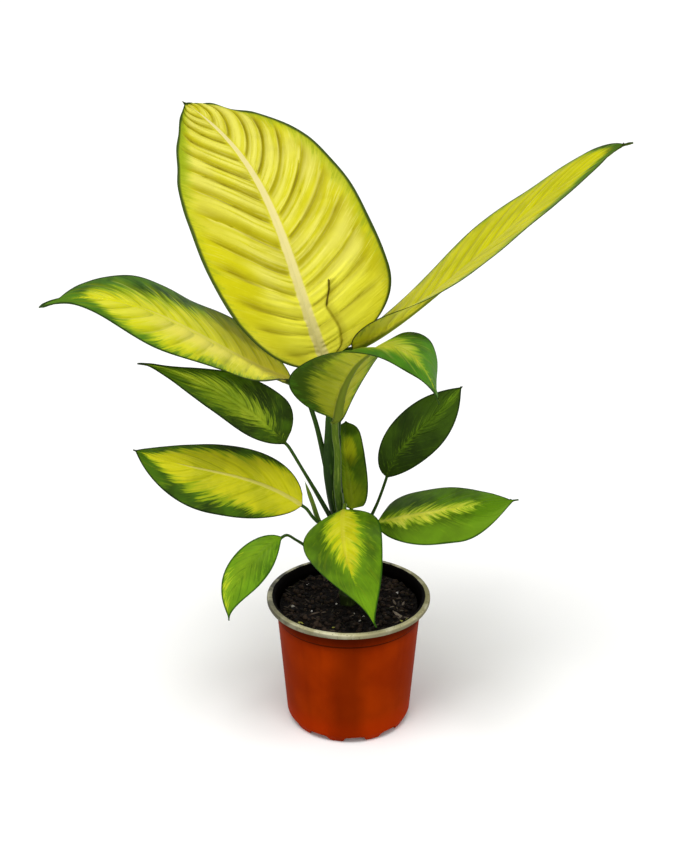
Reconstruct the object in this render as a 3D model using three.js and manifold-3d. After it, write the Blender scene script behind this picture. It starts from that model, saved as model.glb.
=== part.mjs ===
// Potted dieffenbachia: a nursery pot, its soil, the fused stem with its petioles, and eleven leaf blades.
// Millimetres, +Z up. The origin is the centre of the pot's underside, and the pot stands on z = 0.
import * as THREE from 'three';
import { mergeVertices } from 'three/addons/utils/BufferGeometryUtils.js';
import Module from 'manifold-3d';

const wasm = await Module();
wasm.setup();

// Pot, a 12 cm thermoformed nursery pot
const POT_HEIGHT = 100;
const RIM_RADIUS = 60;
const RIM_INNER_RADIUS = 55;
const RIM_DROP = 4;
const COLLAR_RADIUS = 53.9;
const COLLAR_FOOT = 86.5;
const COLLAR_STEP = 0.9;
const BODY_TOP_RADIUS = 52.6;
const BODY_FOOT_RADIUS = 46;
const BODY_FOOT = 6.5;
const UNDERSIDE_RADIUS = 42.8;
const WALL = 1.3;
const FLOOR_TOP = 6.5;
const FLOOR_ROUND = 2.5;
const POT_SEGMENTS = 50;

// Drainage under the pot: radial channels between ten feet, wider at the foot than at their top
const NOTCH_COUNT = 10;
const NOTCH_TOP_WIDTH = 13;
const NOTCH_FOOT_WIDTH = 18;
const NOTCH_HEIGHT = 4.8;
const NOTCH_TURN = -84;
const HUB_RADIUS = 24;
const DRAIN_RADIUS = 3;
const DRAIN_PLACE = 36;

// Soil
const SOIL_TOP = 92;
const SOIL_CLEARANCE = 0.35;
const SOIL_LUMP = 1.1;
const SOIL_RINGS = 8;
const SOIL_SECTORS = 32;
const CRUMB_COUNT = 34;
const CRUMB_REACH = [13, 45.9];
const CRUMB_SIZE = [1.3, 3.5];
const CRUMB_SINK = 0.4;
const CANE_HOLE_DEPTH = 30;
const CANE_HOLE_SIDES = 24;

// Stem
const CANE_FOOT_RADIUS = 6.6;
const CANE_TOP_RADIUS = 4.6;
const CANE_NODE_SWELL = 0.5;
const CANE_NODE_HEIGHTS = [101, 112, 124, 137, 151];
const FIT_GAP = 0.35;

// Cane centre line, from the bottom of its hole to the crown
const CANE_PATH = [[0, 0, 62.4], [0, 0, 96], [0, 0, 112], [-3, 0, 138], [-6, 0, 166]];

// Each leaf: rib holds four points that the midrib passes at 0, 1/3, 2/3 and 1 of its course.
// face is the side that the upper surface looks to. Left and right are seen from above, tip forward.
// fold is the slope of each half at the midrib, in degrees, from the leaf's base to its tip, and
// curl is how far the half bends back on its way to the margin. stalk holds the petiole's way from
// the cane, and stalkRadius its radius at the cane and at the blade.
const LEAVES = [
  {
    name: 'leaf_01', rib: [[-17, 2, 282], [-40, 12, 351], [-67, 48, 404], [-119, 111, 440]],
    width: [123, 128], widest: [0.4, 0.23], round: [0.56, 0.59], taper: [0.84, 0.84], drip: 0.02, tail: 0.05,
    sweep: 0.3, face: [0.1, -0.75, 0.65], roll: 0, fold: [[34, 4], [26, 0]], open: 1, curl: -20,
    wave: 2, waves: 2, veins: 14, pleat: 0.7, blade: 0.8, colour: 0xd9d63a,
    stalk: [[-5, 2, 150], [-13, 4, 195], [-13, 4, 238]], stalkRadius: [5.2, 2.6],
  },
  {
    name: 'leaf_02', rib: [[2, 8, 291], [65, 6, 337], [134, 1, 402], [184, -8, 438]],
    width: [104, 104], widest: [0.45, 0.45], round: [0.6, 0.6], taper: [0.72, 0.72], drip: 0.05, tail: 0.06,
    sweep: 0.3, face: [0, 0, 1], roll: 0, fold: [[0, 6], [45, 2]], open: 3, curl: -3,
    wave: 1.5, waves: 2, veins: 14, pleat: 0.6, blade: 0.8, colour: 0xcfcf35,
    stalk: [[-3, 3, 152], [-9, 9, 200], [-7, 11, 250]], stalkRadius: [2.8, 2.4],
  },
  {
    name: 'leaf_03', rib: [[-8, -10, 242], [4, -25, 290], [32, -51, 312], [59, -64, 277]],
    width: [62, 88], widest: [0.45, 0.33], round: [0.8, 0.81], taper: [0.39, 1.36], drip: 0.04, tail: 0.08,
    sweep: 0.25, face: [0, 0, 1], roll: 0, fold: [[21, 1], [36, -2]], open: 1, curl: -12,
    wave: 1, waves: 2, veins: 10, pleat: 0.5, blade: 0.8, colour: 0x8fae2c,
    stalk: [[-4, -3, 152], [-8, -8, 190], [-8, -10, 218]], stalkRadius: [2.9, 2.5],
  },
  {
    name: 'leaf_04', rib: [[-40, 2, 268], [-91, -18, 303], [-144, -42, 339], [-200, -60, 343]],
    width: [113, 106], widest: [0.48, 0.28], round: [1.3, 0.6], taper: [1.71, 0.76], drip: 0.1, tail: 0.2,
    sweep: 0.28, face: [0, -0.3, 1], roll: 0, fold: [[28, 0], [4, 0]], open: 1, curl: -12,
    wave: 2, waves: 2, veins: 12, pleat: 0.5, blade: 0.8, colour: 0xb4c232,
    stalk: [[-7, 1, 152], [-17, 2, 205], [-25, 4, 240]], stalkRadius: [2.4, 1.9],
  },
  {
    name: 'leaf_05', rib: [[-44, -22, 231], [-70, -37, 263], [-103, -50, 290], [-138, -62, 305]],
    width: [31, 46], widest: [0.36, 0.18], round: [0.85, 0.56], taper: [1.02, 2.18], drip: 0.06, tail: 0.16,
    sweep: 0.25, face: [0, -0.75, 0.65], roll: 0, fold: [[8, 4], [8, 4]], open: 1, curl: -10,
    wave: 0.5, waves: 2, veins: 8, pleat: 0.35, blade: 0.7, colour: 0x46701c,
    stalk: [[-5, -1, 148], [-22, -10, 185], [-34, -17, 211]], stalkRadius: [1.8, 1.3],
  },
  {
    name: 'leaf_06', rib: [[-33, -26, 185], [-70, -43, 213], [-107, -61, 231], [-142, -74, 249]],
    width: [57, 58], widest: [0.53, 0.37], round: [0.59, 0.55], taper: [0.98, 0.83], drip: 0.02, tail: 0.05,
    sweep: 0.25, face: [0, -0.8, 0.6], roll: 0, fold: [[-4, -4], [-16, -44]], open: 1, curl: -12,
    wave: 0.5, waves: 2, veins: 8, pleat: 0.35, blade: 0.7, colour: 0x8aa11f,
    stalk: [[-3, -2, 141], [-15, -12, 158], [-25, -20, 172]], stalkRadius: [1.7, 1.3],
  },
  {
    name: 'leaf_07', rib: [[-47, -46, 170], [-63, -58, 162], [-77, -66, 144], [-83, -72, 119]],
    width: [29, 25], widest: [0.42, 0.49], round: [0.99, 0.69], taper: [1.5, 1.32], drip: 0.03, tail: 0.06,
    sweep: 0.22, face: [0, -0.8, 0.6], roll: 0, fold: [[6, 6], [6, 6]], open: 1, curl: -12,
    wave: 0, waves: 2, veins: 6, pleat: 0.3, blade: 0.7, colour: 0x5f8a1e,
    stalk: [[-2, -3, 121], [-21, -13, 139], [-37, -27, 158]], stalkRadius: [1.5, 1.1],
  },
  {
    name: 'leaf_08', rib: [[-4, -26, 182], [-4, -48, 169], [3, -62, 145], [19, -66, 110]],
    width: [56, 74], widest: [0.27, 0.21], round: [0.47, 0.4], taper: [1.35, 2.91], drip: 0.02, tail: 0.06,
    sweep: 0.22, face: [0, -0.9, 0.45], roll: 28, fold: [[-2, -2], [-2, -2]], open: 1, curl: -20,
    wave: 0.5, waves: 2, veins: 7, pleat: 0.35, blade: 0.7, colour: 0x7c9e22,
    stalk: [[-4, -3, 150], [-3, -10, 166], [-3, -17, 178]], stalkRadius: [1.8, 1.4],
  },
  {
    name: 'leaf_09', rib: [[20, -20, 169], [49, -35, 183], [81, -50, 196], [114, -62, 207]],
    width: [62, 59], widest: [0.19, 0.64], round: [0.23, 0.63], taper: [0.95, 1.28], drip: 0.06, tail: 0.08,
    sweep: 0.25, face: [0, -0.4, 1], roll: 0, fold: [[-4, -4], [-4, -4]], open: 1, curl: -12,
    wave: 0.5, waves: 2, veins: 8, pleat: 0.35, blade: 0.7, colour: 0x6f9822,
    stalk: [[-1, -2, 137], [5, -9, 151], [11, -15, 163]], stalkRadius: [1.8, 1.4],
  },
  {
    name: 'leaf_10', rib: [[27, 0, 195], [38, -6, 221], [55, -12, 243], [77, -20, 272]],
    width: [34, 37], widest: [0.48, 0.49], round: [0.54, 0.71], taper: [0.89, 1.06], drip: 0.02, tail: 0.05,
    sweep: 0.25, face: [-0.2, -0.9, 0.3], roll: 0, fold: [[6, 6], [6, 6]], open: 1, curl: -12,
    wave: 1, waves: 2, veins: 8, pleat: 0.35, blade: 0.7, colour: 0x3c6318,
    stalk: [[-1, 2, 133], [10, 2, 150], [20, 1, 172]], stalkRadius: [1.5, 1.2],
  },
  {
    name: 'leaf_11', rib: [[2, 16, 162], [0, 22, 182], [-3, 24, 204], [-2, 18, 230]],
    width: [30, 29], widest: [0.39, 0.5], round: [0.6, 0.22], taper: [0.73, 0.36], drip: 0.02, tail: 0.06,
    sweep: 0.25, face: [0, -1, 0.2], roll: 0, fold: [[4, 4], [4, 4]], open: 1, curl: -12,
    wave: 2, waves: 2, veins: 6, pleat: 0.35, blade: 0.7, colour: 0x6c8c22,
    stalk: [[-3, 3, 141], [-1, 9, 148], [1, 14, 154]], stalkRadius: [1.8, 1.4],
  },
];

// A young leaf's sheath that stands free beside the petioles, with no blade yet
const YOUNG_SHEATH = {
  path: [[-4, -2, 140], [-19, -11, 160], [-26, -16, 183], [-31, -18, 200]],
  radius: [1.7, 0.7],
};

const STALK_SIDES = 8;
const STALK_STEPS = 12;
const CANE_SIDES = 14;
const CANE_STEPS = 24;
const MARGIN_COLUMNS = [0.4, 0.72, 1];
const RIB_TIP_RADIUS = 0.5;

// A repeatable random sequence between 0 and 1
function randomSequence(seed) {
  let state = seed;
  return () => {
    state = (state + 0x6d2b79f5) | 0;
    let t = Math.imul(state ^ (state >>> 15), 1 | state);
    t = (t + Math.imul(t ^ (t >>> 7), 61 | t)) ^ t;
    return ((t ^ (t >>> 14)) >>> 0) / 4294967296;
  };
}

function vectors(points) {
  return points.map((p) => new THREE.Vector3(...p));
}

// The cubic that passes its four points at 0, 1/3, 2/3 and 1
function curveThrough(points) {
  const [a, b, c, d] = vectors(points);
  const mix = (ka, kb, kc, kd) => new THREE.Vector3()
    .addScaledVector(a, ka / 6)
    .addScaledVector(b, kb / 6)
    .addScaledVector(c, kc / 6)
    .addScaledVector(d, kd / 6);
  return new THREE.CubicBezierCurve3(a, mix(-5, 18, -9, 2), mix(2, -9, 18, -5), d);
}

function indexedGeometry(positions, faces) {
  const geometry = new THREE.BufferGeometry();
  geometry.setAttribute('position', new THREE.Float32BufferAttribute(positions, 3));
  geometry.setIndex(faces);
  return geometry;
}

function toSolid(geometry) {
  const bare = geometry.clone();
  bare.deleteAttribute('normal');
  bare.deleteAttribute('uv');
  const merged = mergeVertices(bare, 1e-4);
  const mesh = new wasm.Mesh({
    numProp: 3,
    vertProperties: new Float32Array(merged.attributes.position.array),
    triVerts: new Uint32Array(merged.index.array),
  });
  return new wasm.Manifold(mesh);
}

function toGeometry(solid) {
  const mesh = solid.getMesh();
  return indexedGeometry(Array.from(mesh.vertProperties), Array.from(mesh.triVerts));
}

function joined(solids) {
  return solids.reduce((sum, next) => sum.add(next));
}

// ---- Pot ----

function latheSolid(profile, segments) {
  const points = profile.map(([r, z]) => new THREE.Vector2(r, z));
  const geometry = new THREE.LatheGeometry(points, segments);
  geometry.rotateX(Math.PI / 2);
  return toSolid(geometry);
}

function potGeometry() {
  const rimFoot = POT_HEIGHT - RIM_DROP;
  const innerFoot = BODY_FOOT_RADIUS - WALL;
  const shell = latheSolid([
    [0, 0],
    [UNDERSIDE_RADIUS, 0],
    [BODY_FOOT_RADIUS - 0.5, BODY_FOOT - 1.5],
    [BODY_FOOT_RADIUS + 0.1, BODY_FOOT + 0.5],
    [BODY_TOP_RADIUS, COLLAR_FOOT - COLLAR_STEP],
    [BODY_TOP_RADIUS + COLLAR_STEP, COLLAR_FOOT],
    [COLLAR_RADIUS, rimFoot - 0.2],
    [RIM_RADIUS - 1.6, rimFoot],
    [RIM_RADIUS - 0.4, rimFoot + 0.6],
    [RIM_RADIUS, rimFoot + 2],
    [RIM_RADIUS - 0.6, POT_HEIGHT - 0.6],
    [RIM_RADIUS - 2, POT_HEIGHT],
    [RIM_INNER_RADIUS + 0.8, POT_HEIGHT - 0.3],
    [RIM_INNER_RADIUS - 0.2, POT_HEIGHT - 1.6],
    [COLLAR_RADIUS - WALL, rimFoot - 1],
    [BODY_TOP_RADIUS + COLLAR_STEP - WALL, COLLAR_FOOT + 0.4],
    [BODY_TOP_RADIUS - WALL, COLLAR_FOOT - COLLAR_STEP],
    [innerFoot, FLOOR_TOP + FLOOR_ROUND],
    [innerFoot - FLOOR_ROUND, FLOOR_TOP],
    [0, FLOOR_TOP],
  ], POT_SEGMENTS);
  const cuts = [];
  const channelLength = RIM_RADIUS - HUB_RADIUS;
  const below = 1;
  const flare = ((NOTCH_FOOT_WIDTH - NOTCH_TOP_WIDTH) / 2) * (below / NOTCH_HEIGHT);
  const section = new THREE.Shape([
    new THREE.Vector2(-NOTCH_FOOT_WIDTH / 2 - flare, -below),
    new THREE.Vector2(NOTCH_FOOT_WIDTH / 2 + flare, -below),
    new THREE.Vector2(NOTCH_TOP_WIDTH / 2, NOTCH_HEIGHT),
    new THREE.Vector2(-NOTCH_TOP_WIDTH / 2, NOTCH_HEIGHT),
  ]);
  for (let k = 0; k < NOTCH_COUNT; k += 1) {
    const turn = THREE.MathUtils.degToRad(NOTCH_TURN + (k * 360) / NOTCH_COUNT);
    const channel = new THREE.ExtrudeGeometry(section, { depth: channelLength, bevelEnabled: false });
    channel.rotateX(Math.PI / 2);
    channel.rotateZ(Math.PI / 2);
    channel.translate(HUB_RADIUS, 0, 0);
    channel.rotateZ(turn);
    cuts.push(toSolid(channel));
    const drain = new THREE.CylinderGeometry(DRAIN_RADIUS, DRAIN_RADIUS, FLOOR_TOP, 12);
    drain.rotateX(Math.PI / 2);
    drain.translate(DRAIN_PLACE, 0, NOTCH_HEIGHT - 1 + FLOOR_TOP / 2);
    drain.rotateZ(turn);
    cuts.push(toSolid(drain));
  }
  return toGeometry(shell.subtract(joined(cuts)));
}

// ---- Soil ----

// The radius that the soil fills at a height inside the pot
function soilRadius(z) {
  const cornerTop = FLOOR_TOP + FLOOR_ROUND;
  const rise = (z - cornerTop) / (COLLAR_FOOT - COLLAR_STEP - cornerTop);
  const wall = BODY_FOOT_RADIUS - WALL + rise * (BODY_TOP_RADIUS - BODY_FOOT_RADIUS);
  return wall - SOIL_CLEARANCE;
}

function soilGeometry() {
  const random = randomSequence(11);
  const positions = [0, 0, SOIL_TOP + 1];
  const faces = [];
  const shoulder = COLLAR_FOOT - COLLAR_STEP;
  const foot = FLOOR_TOP + SOIL_CLEARANCE;
  const topRadius = soilRadius(shoulder) - 0.1;
  for (let ring = 1; ring <= SOIL_RINGS; ring += 1) {
    for (let s = 0; s < SOIL_SECTORS; s += 1) {
      const turn = (s / SOIL_SECTORS) * 2 * Math.PI;
      const share = ring / SOIL_RINGS;
      const inner = ring < SOIL_RINGS;
      const r = topRadius * (share + (inner ? (random() - 0.5) * 0.05 : 0));
      const crown = 1 - share * share;
      const z = SOIL_TOP + crown + (random() - 0.5) * 2 * SOIL_LUMP * (inner ? 1 : 0.5);
      positions.push(r * Math.cos(turn), r * Math.sin(turn), z);
    }
  }
  const cornerTop = FLOOR_TOP + FLOOR_ROUND;
  const footRadius = soilRadius(cornerTop) - 0.1;
  const walls = [
    [topRadius, shoulder],
    [footRadius, cornerTop],
    [footRadius - FLOOR_ROUND - 0.5, foot],
  ];
  for (const [r, z] of walls) {
    for (let s = 0; s < SOIL_SECTORS; s += 1) {
      const turn = (s / SOIL_SECTORS) * 2 * Math.PI;
      positions.push(r * Math.cos(turn), r * Math.sin(turn), z);
    }
  }
  positions.push(0, 0, foot);
  const rings = SOIL_RINGS + walls.length;
  const at = (ring, s) => 1 + (ring - 1) * SOIL_SECTORS + (s % SOIL_SECTORS);
  const last = positions.length / 3 - 1;
  for (let s = 0; s < SOIL_SECTORS; s += 1) {
    faces.push(0, at(1, s), at(1, s + 1));
    for (let ring = 1; ring < rings; ring += 1) {
      faces.push(at(ring, s), at(ring + 1, s), at(ring + 1, s + 1));
      faces.push(at(ring, s), at(ring + 1, s + 1), at(ring, s + 1));
    }
    faces.push(at(rings, s), last, at(rings, s + 1));
  }
  let soil = toSolid(indexedGeometry(positions, faces));
  const crumbs = [];
  for (let k = 0; k < CRUMB_COUNT; k += 1) {
    const turn = random() * 2 * Math.PI;
    const reach = CRUMB_REACH[0] + Math.sqrt(random()) * (CRUMB_REACH[1] - CRUMB_REACH[0]);
    const crown = 1 - (reach / topRadius) ** 2;
    const size = CRUMB_SIZE[0] + random() * random() * (CRUMB_SIZE[1] - CRUMB_SIZE[0]);
    const crumb = new THREE.IcosahedronGeometry(size, 0);
    crumb.scale(1 + random() * 0.8, 1, 0.7);
    crumb.rotateZ(random() * Math.PI);
    crumb.translate(reach * Math.cos(turn), reach * Math.sin(turn), SOIL_TOP + crown - CRUMB_SINK);
    crumbs.push(toSolid(crumb));
  }
  soil = soil.add(joined(crumbs));
  const holeRadius = CANE_FOOT_RADIUS + FIT_GAP;
  const holeLength = CANE_HOLE_DEPTH + 10;
  const hole = new THREE.CylinderGeometry(holeRadius, holeRadius, holeLength, CANE_HOLE_SIDES);
  hole.rotateX(Math.PI / 2);
  hole.translate(0, 0, SOIL_TOP - CANE_HOLE_DEPTH + holeLength / 2);
  return toGeometry(soil.subtract(toSolid(hole)));
}

// ---- Stem ----

// A closed round tube along a curve, whose radius is a function of the course from 0 to 1
function taperedTube(curve, radiusAt, sides, steps) {
  const frames = curve.computeFrenetFrames(steps, false);
  const positions = [];
  const faces = [];
  for (let i = 0; i <= steps; i += 1) {
    const centre = curve.getPointAt(i / steps);
    const radius = radiusAt(i / steps);
    for (let j = 0; j < sides; j += 1) {
      const turn = (j / sides) * 2 * Math.PI;
      const point = centre.clone()
        .addScaledVector(frames.normals[i], radius * Math.cos(turn))
        .addScaledVector(frames.binormals[i], radius * Math.sin(turn));
      positions.push(point.x, point.y, point.z);
    }
  }
  const at = (i, j) => i * sides + (j % sides);
  for (let i = 0; i < steps; i += 1) {
    for (let j = 0; j < sides; j += 1) {
      faces.push(at(i, j), at(i, j + 1), at(i + 1, j + 1));
      faces.push(at(i, j), at(i + 1, j + 1), at(i + 1, j));
    }
  }
  for (let j = 1; j < sides - 1; j += 1) {
    faces.push(at(0, 0), at(0, j + 1), at(0, j));
    faces.push(at(steps, 0), at(steps, j), at(steps, j + 1));
  }
  return toSolid(indexedGeometry(positions, faces));
}

function caneSolid() {
  const curve = new THREE.CatmullRomCurve3(vectors(CANE_PATH), false, 'centripetal');
  const bottom = CANE_PATH[0][2];
  const top = CANE_PATH[CANE_PATH.length - 1][2];
  return taperedTube(curve, (t) => {
    const z = bottom + t * (top - bottom);
    const taper = THREE.MathUtils.smoothstep(z, SOIL_TOP + 6, top);
    const plain = CANE_FOOT_RADIUS + (CANE_TOP_RADIUS - CANE_FOOT_RADIUS) * taper;
    const swell = CANE_NODE_HEIGHTS.reduce((sum, h) => sum + Math.exp(-(((z - h) / 2.2) ** 2)), 0);
    const crown = Math.sqrt(Math.max(0.15, 1 - THREE.MathUtils.smoothstep(t, 0.94, 1)));
    return (plain + CANE_NODE_SWELL * swell * (z > SOIL_TOP + 4 ? 1 : 0)) * crown;
  }, CANE_SIDES, CANE_STEPS);
}

// A petiole runs from the cane to just short of its blade, and arrives in line with the midrib
function stalkCurve(leaf) {
  const base = bladeFrame(leaf, 0);
  const end = base.centre.clone()
    .addScaledVector(base.along, -FIT_GAP)
    .addScaledVector(base.up, -leaf.stalkRadius[1]);
  const approach = end.clone().addScaledVector(base.along, -4 * leaf.stalkRadius[1]);
  return new THREE.CatmullRomCurve3([...vectors(leaf.stalk), approach, end], false, 'centripetal');
}

function stemGeometry() {
  const solids = [caneSolid()];
  for (const leaf of LEAVES) {
    const [wide, slim] = leaf.stalkRadius;
    const radiusAt = (t) => slim + (wide - slim) * (1 - THREE.MathUtils.smoothstep(t, 0.35, 0.75));
    solids.push(taperedTube(stalkCurve(leaf), radiusAt, STALK_SIDES, STALK_STEPS));
  }
  const [wide, slim] = YOUNG_SHEATH.radius;
  const sheath = curveThrough(YOUNG_SHEATH.path);
  solids.push(taperedTube(sheath, (t) => wide + (slim - wide) * t, STALK_SIDES, STALK_STEPS));
  return toGeometry(joined(solids));
}

// ---- Leaf blades ----

// Half the width of a blade as a share of its greatest half width. Before the widest place it
// rounds in to the stalk, after it tapers to the tip, and a narrow tail is the drip tip.
function outlineShare(leaf, u, side) {
  const widest = leaf.widest[side];
  if (u < widest) {
    return (1 - ((widest - u) / widest) ** 2.2) ** leaf.round[side];
  }
  const t = (u - widest) / (1 - widest);
  const body = Math.max(0, 1 - (t / (1 - leaf.drip)) ** 2.1) ** leaf.taper[side];
  const tail = leaf.tail * Math.sqrt(1 - t) * Math.min(1, 3 * t);
  return Math.hypot(body, tail);
}

function ribRadius(leaf, u) {
  return RIB_TIP_RADIUS + (leaf.stalkRadius[1] - RIB_TIP_RADIUS) * (1 - u) ** 1.2;
}

// Centre and axes of a blade at a course u of the midrib: along it, out of its upper face, and
// across to its right
function bladeFrame(leaf, u) {
  const curve = leaf.curve;
  const centre = curve.getPointAt(u);
  const along = curve.getTangentAt(u);
  const up = new THREE.Vector3(...leaf.face);
  up.addScaledVector(along, -up.dot(along)).normalize();
  up.applyAxisAngle(along, THREE.MathUtils.degToRad(leaf.roll));
  const across = new THREE.Vector3().crossVectors(along, up);
  return { centre, along, up, across };
}

// A point of the upper face. q is the course of a lateral vein's root along the midrib, and v goes
// from -1 at the left margin to 1 at the right one. The veins sweep forward on their way out.
function bladePoint(leaf, q, v, height) {
  const side = v > 0 ? 1 : 0;
  const out = Math.abs(v);
  const swept = leaf.sweep * Math.sin(Math.PI * q) ** 0.6 * out ** 1.5 * (1 - q);
  const u = Math.min(1, q + swept);
  const frame = bladeFrame(leaf, u);
  const half = Math.hypot((leaf.width[side] / 2) * outlineShare(leaf, u, side), ribRadius(leaf, u));
  const [atBase, atTip] = leaf.fold[side];
  const fold = THREE.MathUtils.degToRad(atTip + (atBase - atTip) * (1 - u) ** leaf.open);
  const curl = THREE.MathUtils.degToRad(leaf.curl);
  const sideways = (half * (Math.sin(fold + curl * out) - Math.sin(fold))) / curl;
  const lift = (half * (Math.cos(fold) - Math.cos(fold + curl * out))) / curl;
  const phase = leaf.waves * u + (side === 1 ? 0 : 0.35);
  const wave = leaf.wave * out * out * Math.sin(2 * Math.PI * phase) * Math.sin(Math.PI * u) ** 0.7;
  return frame.centre
    .addScaledVector(frame.across, Math.sign(v) * sideways)
    .addScaledVector(frame.up, lift + wave + height);
}

function bladeNormal(leaf, q, v) {
  const step = 0.004;
  const ahead = bladePoint(leaf, Math.min(1, q + step), v, 0);
  const behind = bladePoint(leaf, Math.max(0, q - step), v, 0);
  const right = bladePoint(leaf, q, Math.min(1, v + step), 0);
  const left = bladePoint(leaf, q, Math.max(-1, v - step), 0);
  return right.sub(left).cross(ahead.sub(behind)).normalize();
}

// A closed blade: the pleated upper face, the face under it with the midrib's keel, and the edges
function bladeGeometry(leaf) {
  const rows = 2 * leaf.veins;
  const positions = [];
  const faces = [];
  const columns = 2 * (MARGIN_COLUMNS.length + 1) + 1;
  const middle = (columns - 1) / 2;
  for (let i = 0; i <= rows; i += 1) {
    const q = (i / rows) ** 1.15;
    const keel = ribRadius(leaf, q);
    const halfHere = Math.hypot((leaf.width[0] / 2) * outlineShare(leaf, q, 0), keel);
    const keelEdge = Math.min(0.32, keel / halfHere);
    const outward = [0, keelEdge, ...MARGIN_COLUMNS];
    for (let j = 0; j < columns; j += 1) {
      const out = outward[Math.abs(j - middle)];
      const v = Math.sign(j - middle) * out;
      const swell = Math.sin(Math.PI * out) ** 0.7 * Math.sin(Math.PI * q) ** 0.5;
      const pleat = (i % 2 === 0 ? -0.5 : 0.5) * leaf.pleat * swell;
      const upper = bladePoint(leaf, q, v, pleat);
      const normal = bladeNormal(leaf, q, v);
      const depth = leaf.blade + (j === middle ? Math.max(0, 2 * keel - leaf.blade) : 0);
      const lower = upper.clone().addScaledVector(normal, -depth);
      positions.push(upper.x, upper.y, upper.z, lower.x, lower.y, lower.z);
    }
  }
  const upperAt = (i, j) => 2 * (i * columns + j);
  const lowerAt = (i, j) => upperAt(i, j) + 1;
  for (let i = 0; i < rows; i += 1) {
    for (let j = 0; j < columns - 1; j += 1) {
      faces.push(upperAt(i, j), upperAt(i, j + 1), upperAt(i + 1, j + 1));
      faces.push(upperAt(i, j), upperAt(i + 1, j + 1), upperAt(i + 1, j));
      faces.push(lowerAt(i, j), lowerAt(i + 1, j + 1), lowerAt(i, j + 1));
      faces.push(lowerAt(i, j), lowerAt(i + 1, j), lowerAt(i + 1, j + 1));
    }
    const last = columns - 1;
    faces.push(upperAt(i, 0), upperAt(i + 1, 0), lowerAt(i + 1, 0));
    faces.push(upperAt(i, 0), lowerAt(i + 1, 0), lowerAt(i, 0));
    faces.push(upperAt(i, last), lowerAt(i, last), lowerAt(i + 1, last));
    faces.push(upperAt(i, last), lowerAt(i + 1, last), upperAt(i + 1, last));
  }
  for (let j = 0; j < columns - 1; j += 1) {
    faces.push(upperAt(0, j), lowerAt(0, j), lowerAt(0, j + 1));
    faces.push(upperAt(0, j), lowerAt(0, j + 1), upperAt(0, j + 1));
    faces.push(upperAt(rows, j), lowerAt(rows, j + 1), lowerAt(rows, j));
    faces.push(upperAt(rows, j), upperAt(rows, j + 1), lowerAt(rows, j + 1));
  }
  return indexedGeometry(positions, faces);
}

// ---- The plant in its pot ----

function addPart(parent, name, geometry, colour, roughness) {
  const material = new THREE.MeshStandardMaterial({ color: colour, roughness, metalness: 0 });
  geometry.computeVertexNormals();
  const mesh = new THREE.Mesh(geometry, material);
  mesh.name = name;
  parent.add(mesh);
}

for (const leaf of LEAVES) {
  leaf.curve = curveThrough(leaf.rib);
}

const plant = new THREE.Group();
addPart(plant, 'pot', potGeometry(), 0x8f2a08, 0.45);
addPart(plant, 'soil', soilGeometry(), 0x1d120b, 0.95);
addPart(plant, 'stem', stemGeometry(), 0x4a6b1e, 0.5);
for (const leaf of LEAVES) {
  addPart(plant, leaf.name, bladeGeometry(leaf), leaf.colour, 0.45);
}

export default plant;
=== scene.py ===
import functools
import math

import bpy
import numpy as np
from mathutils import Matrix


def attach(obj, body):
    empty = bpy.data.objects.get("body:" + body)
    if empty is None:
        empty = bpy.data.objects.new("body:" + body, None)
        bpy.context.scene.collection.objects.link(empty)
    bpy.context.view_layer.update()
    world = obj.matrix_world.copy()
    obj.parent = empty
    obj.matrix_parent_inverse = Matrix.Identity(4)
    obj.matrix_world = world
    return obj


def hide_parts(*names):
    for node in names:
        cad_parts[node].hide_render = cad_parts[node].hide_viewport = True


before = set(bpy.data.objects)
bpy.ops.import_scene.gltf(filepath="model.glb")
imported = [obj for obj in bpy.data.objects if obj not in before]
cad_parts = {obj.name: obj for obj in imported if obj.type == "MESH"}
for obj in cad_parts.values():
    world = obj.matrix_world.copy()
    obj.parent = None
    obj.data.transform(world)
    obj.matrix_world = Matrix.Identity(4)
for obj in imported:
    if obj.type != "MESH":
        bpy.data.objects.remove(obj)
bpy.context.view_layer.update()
print("frame loaded:", len(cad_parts), "nodes")

mm = 0.001
latticeSize = 64  # steps after which latticeNoise repeats


def toLinear(hexText):
    # sRGB hex to linear light: c / 12.92 under 0.04045, otherwise ((c + 0.055) / 1.055) ^ 2.4
    c = np.array([int(hexText[i:i + 2], 16) for i in (1, 3, 5)]) / 255
    linear = np.where(c <= 0.04045, c / 12.92, ((c + 0.055) / 1.055) ** 2.4)
    return (*linear.tolist(), 1.0)


def smoothStep(x, low, high):
    # 0 below low, 1 above high, and 3t^2 - 2t^3 between them
    t = np.clip((x - low) / (high - low), 0, 1)
    return t * t * (3 - 2 * t)


def unit(v):
    return v / np.maximum(np.linalg.norm(v, axis=-1, keepdims=True), 1e-12)


def runAlong(line):
    # length along a line of points, from 0 at its start
    return np.concatenate([[0], np.cumsum(np.linalg.norm(np.diff(line, axis=0), axis=1))])


def readCurve(at, course, line):
    # the points of a line at other places of its course, each axis interpolated by itself
    return np.stack([np.interp(at, course, axis) for axis in line.T], -1)


def fullTurn(count):
    # angles evenly spaced round a turn, in radians
    return np.linspace(0, 2 * np.pi, count, endpoint=False)


def latticeNoise(x, y, seed):
    # random heights on whole numbers, smoothly blended between the four round each point, from -1 to 1
    table = np.random.default_rng(seed).uniform(-1, 1, (latticeSize, latticeSize))
    xi, yi = np.floor(x).astype(int), np.floor(y).astype(int)
    fx, fy = smoothStep(x - xi, 0, 1), smoothStep(y - yi, 0, 1)

    def at(i, j):
        return table[(xi + i) % latticeSize, (yi + j) % latticeSize]

    low = at(0, 0) * (1 - fx) + at(1, 0) * fx
    high = at(0, 1) * (1 - fx) + at(1, 1) * fx
    return low * (1 - fy) + high * fy


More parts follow.
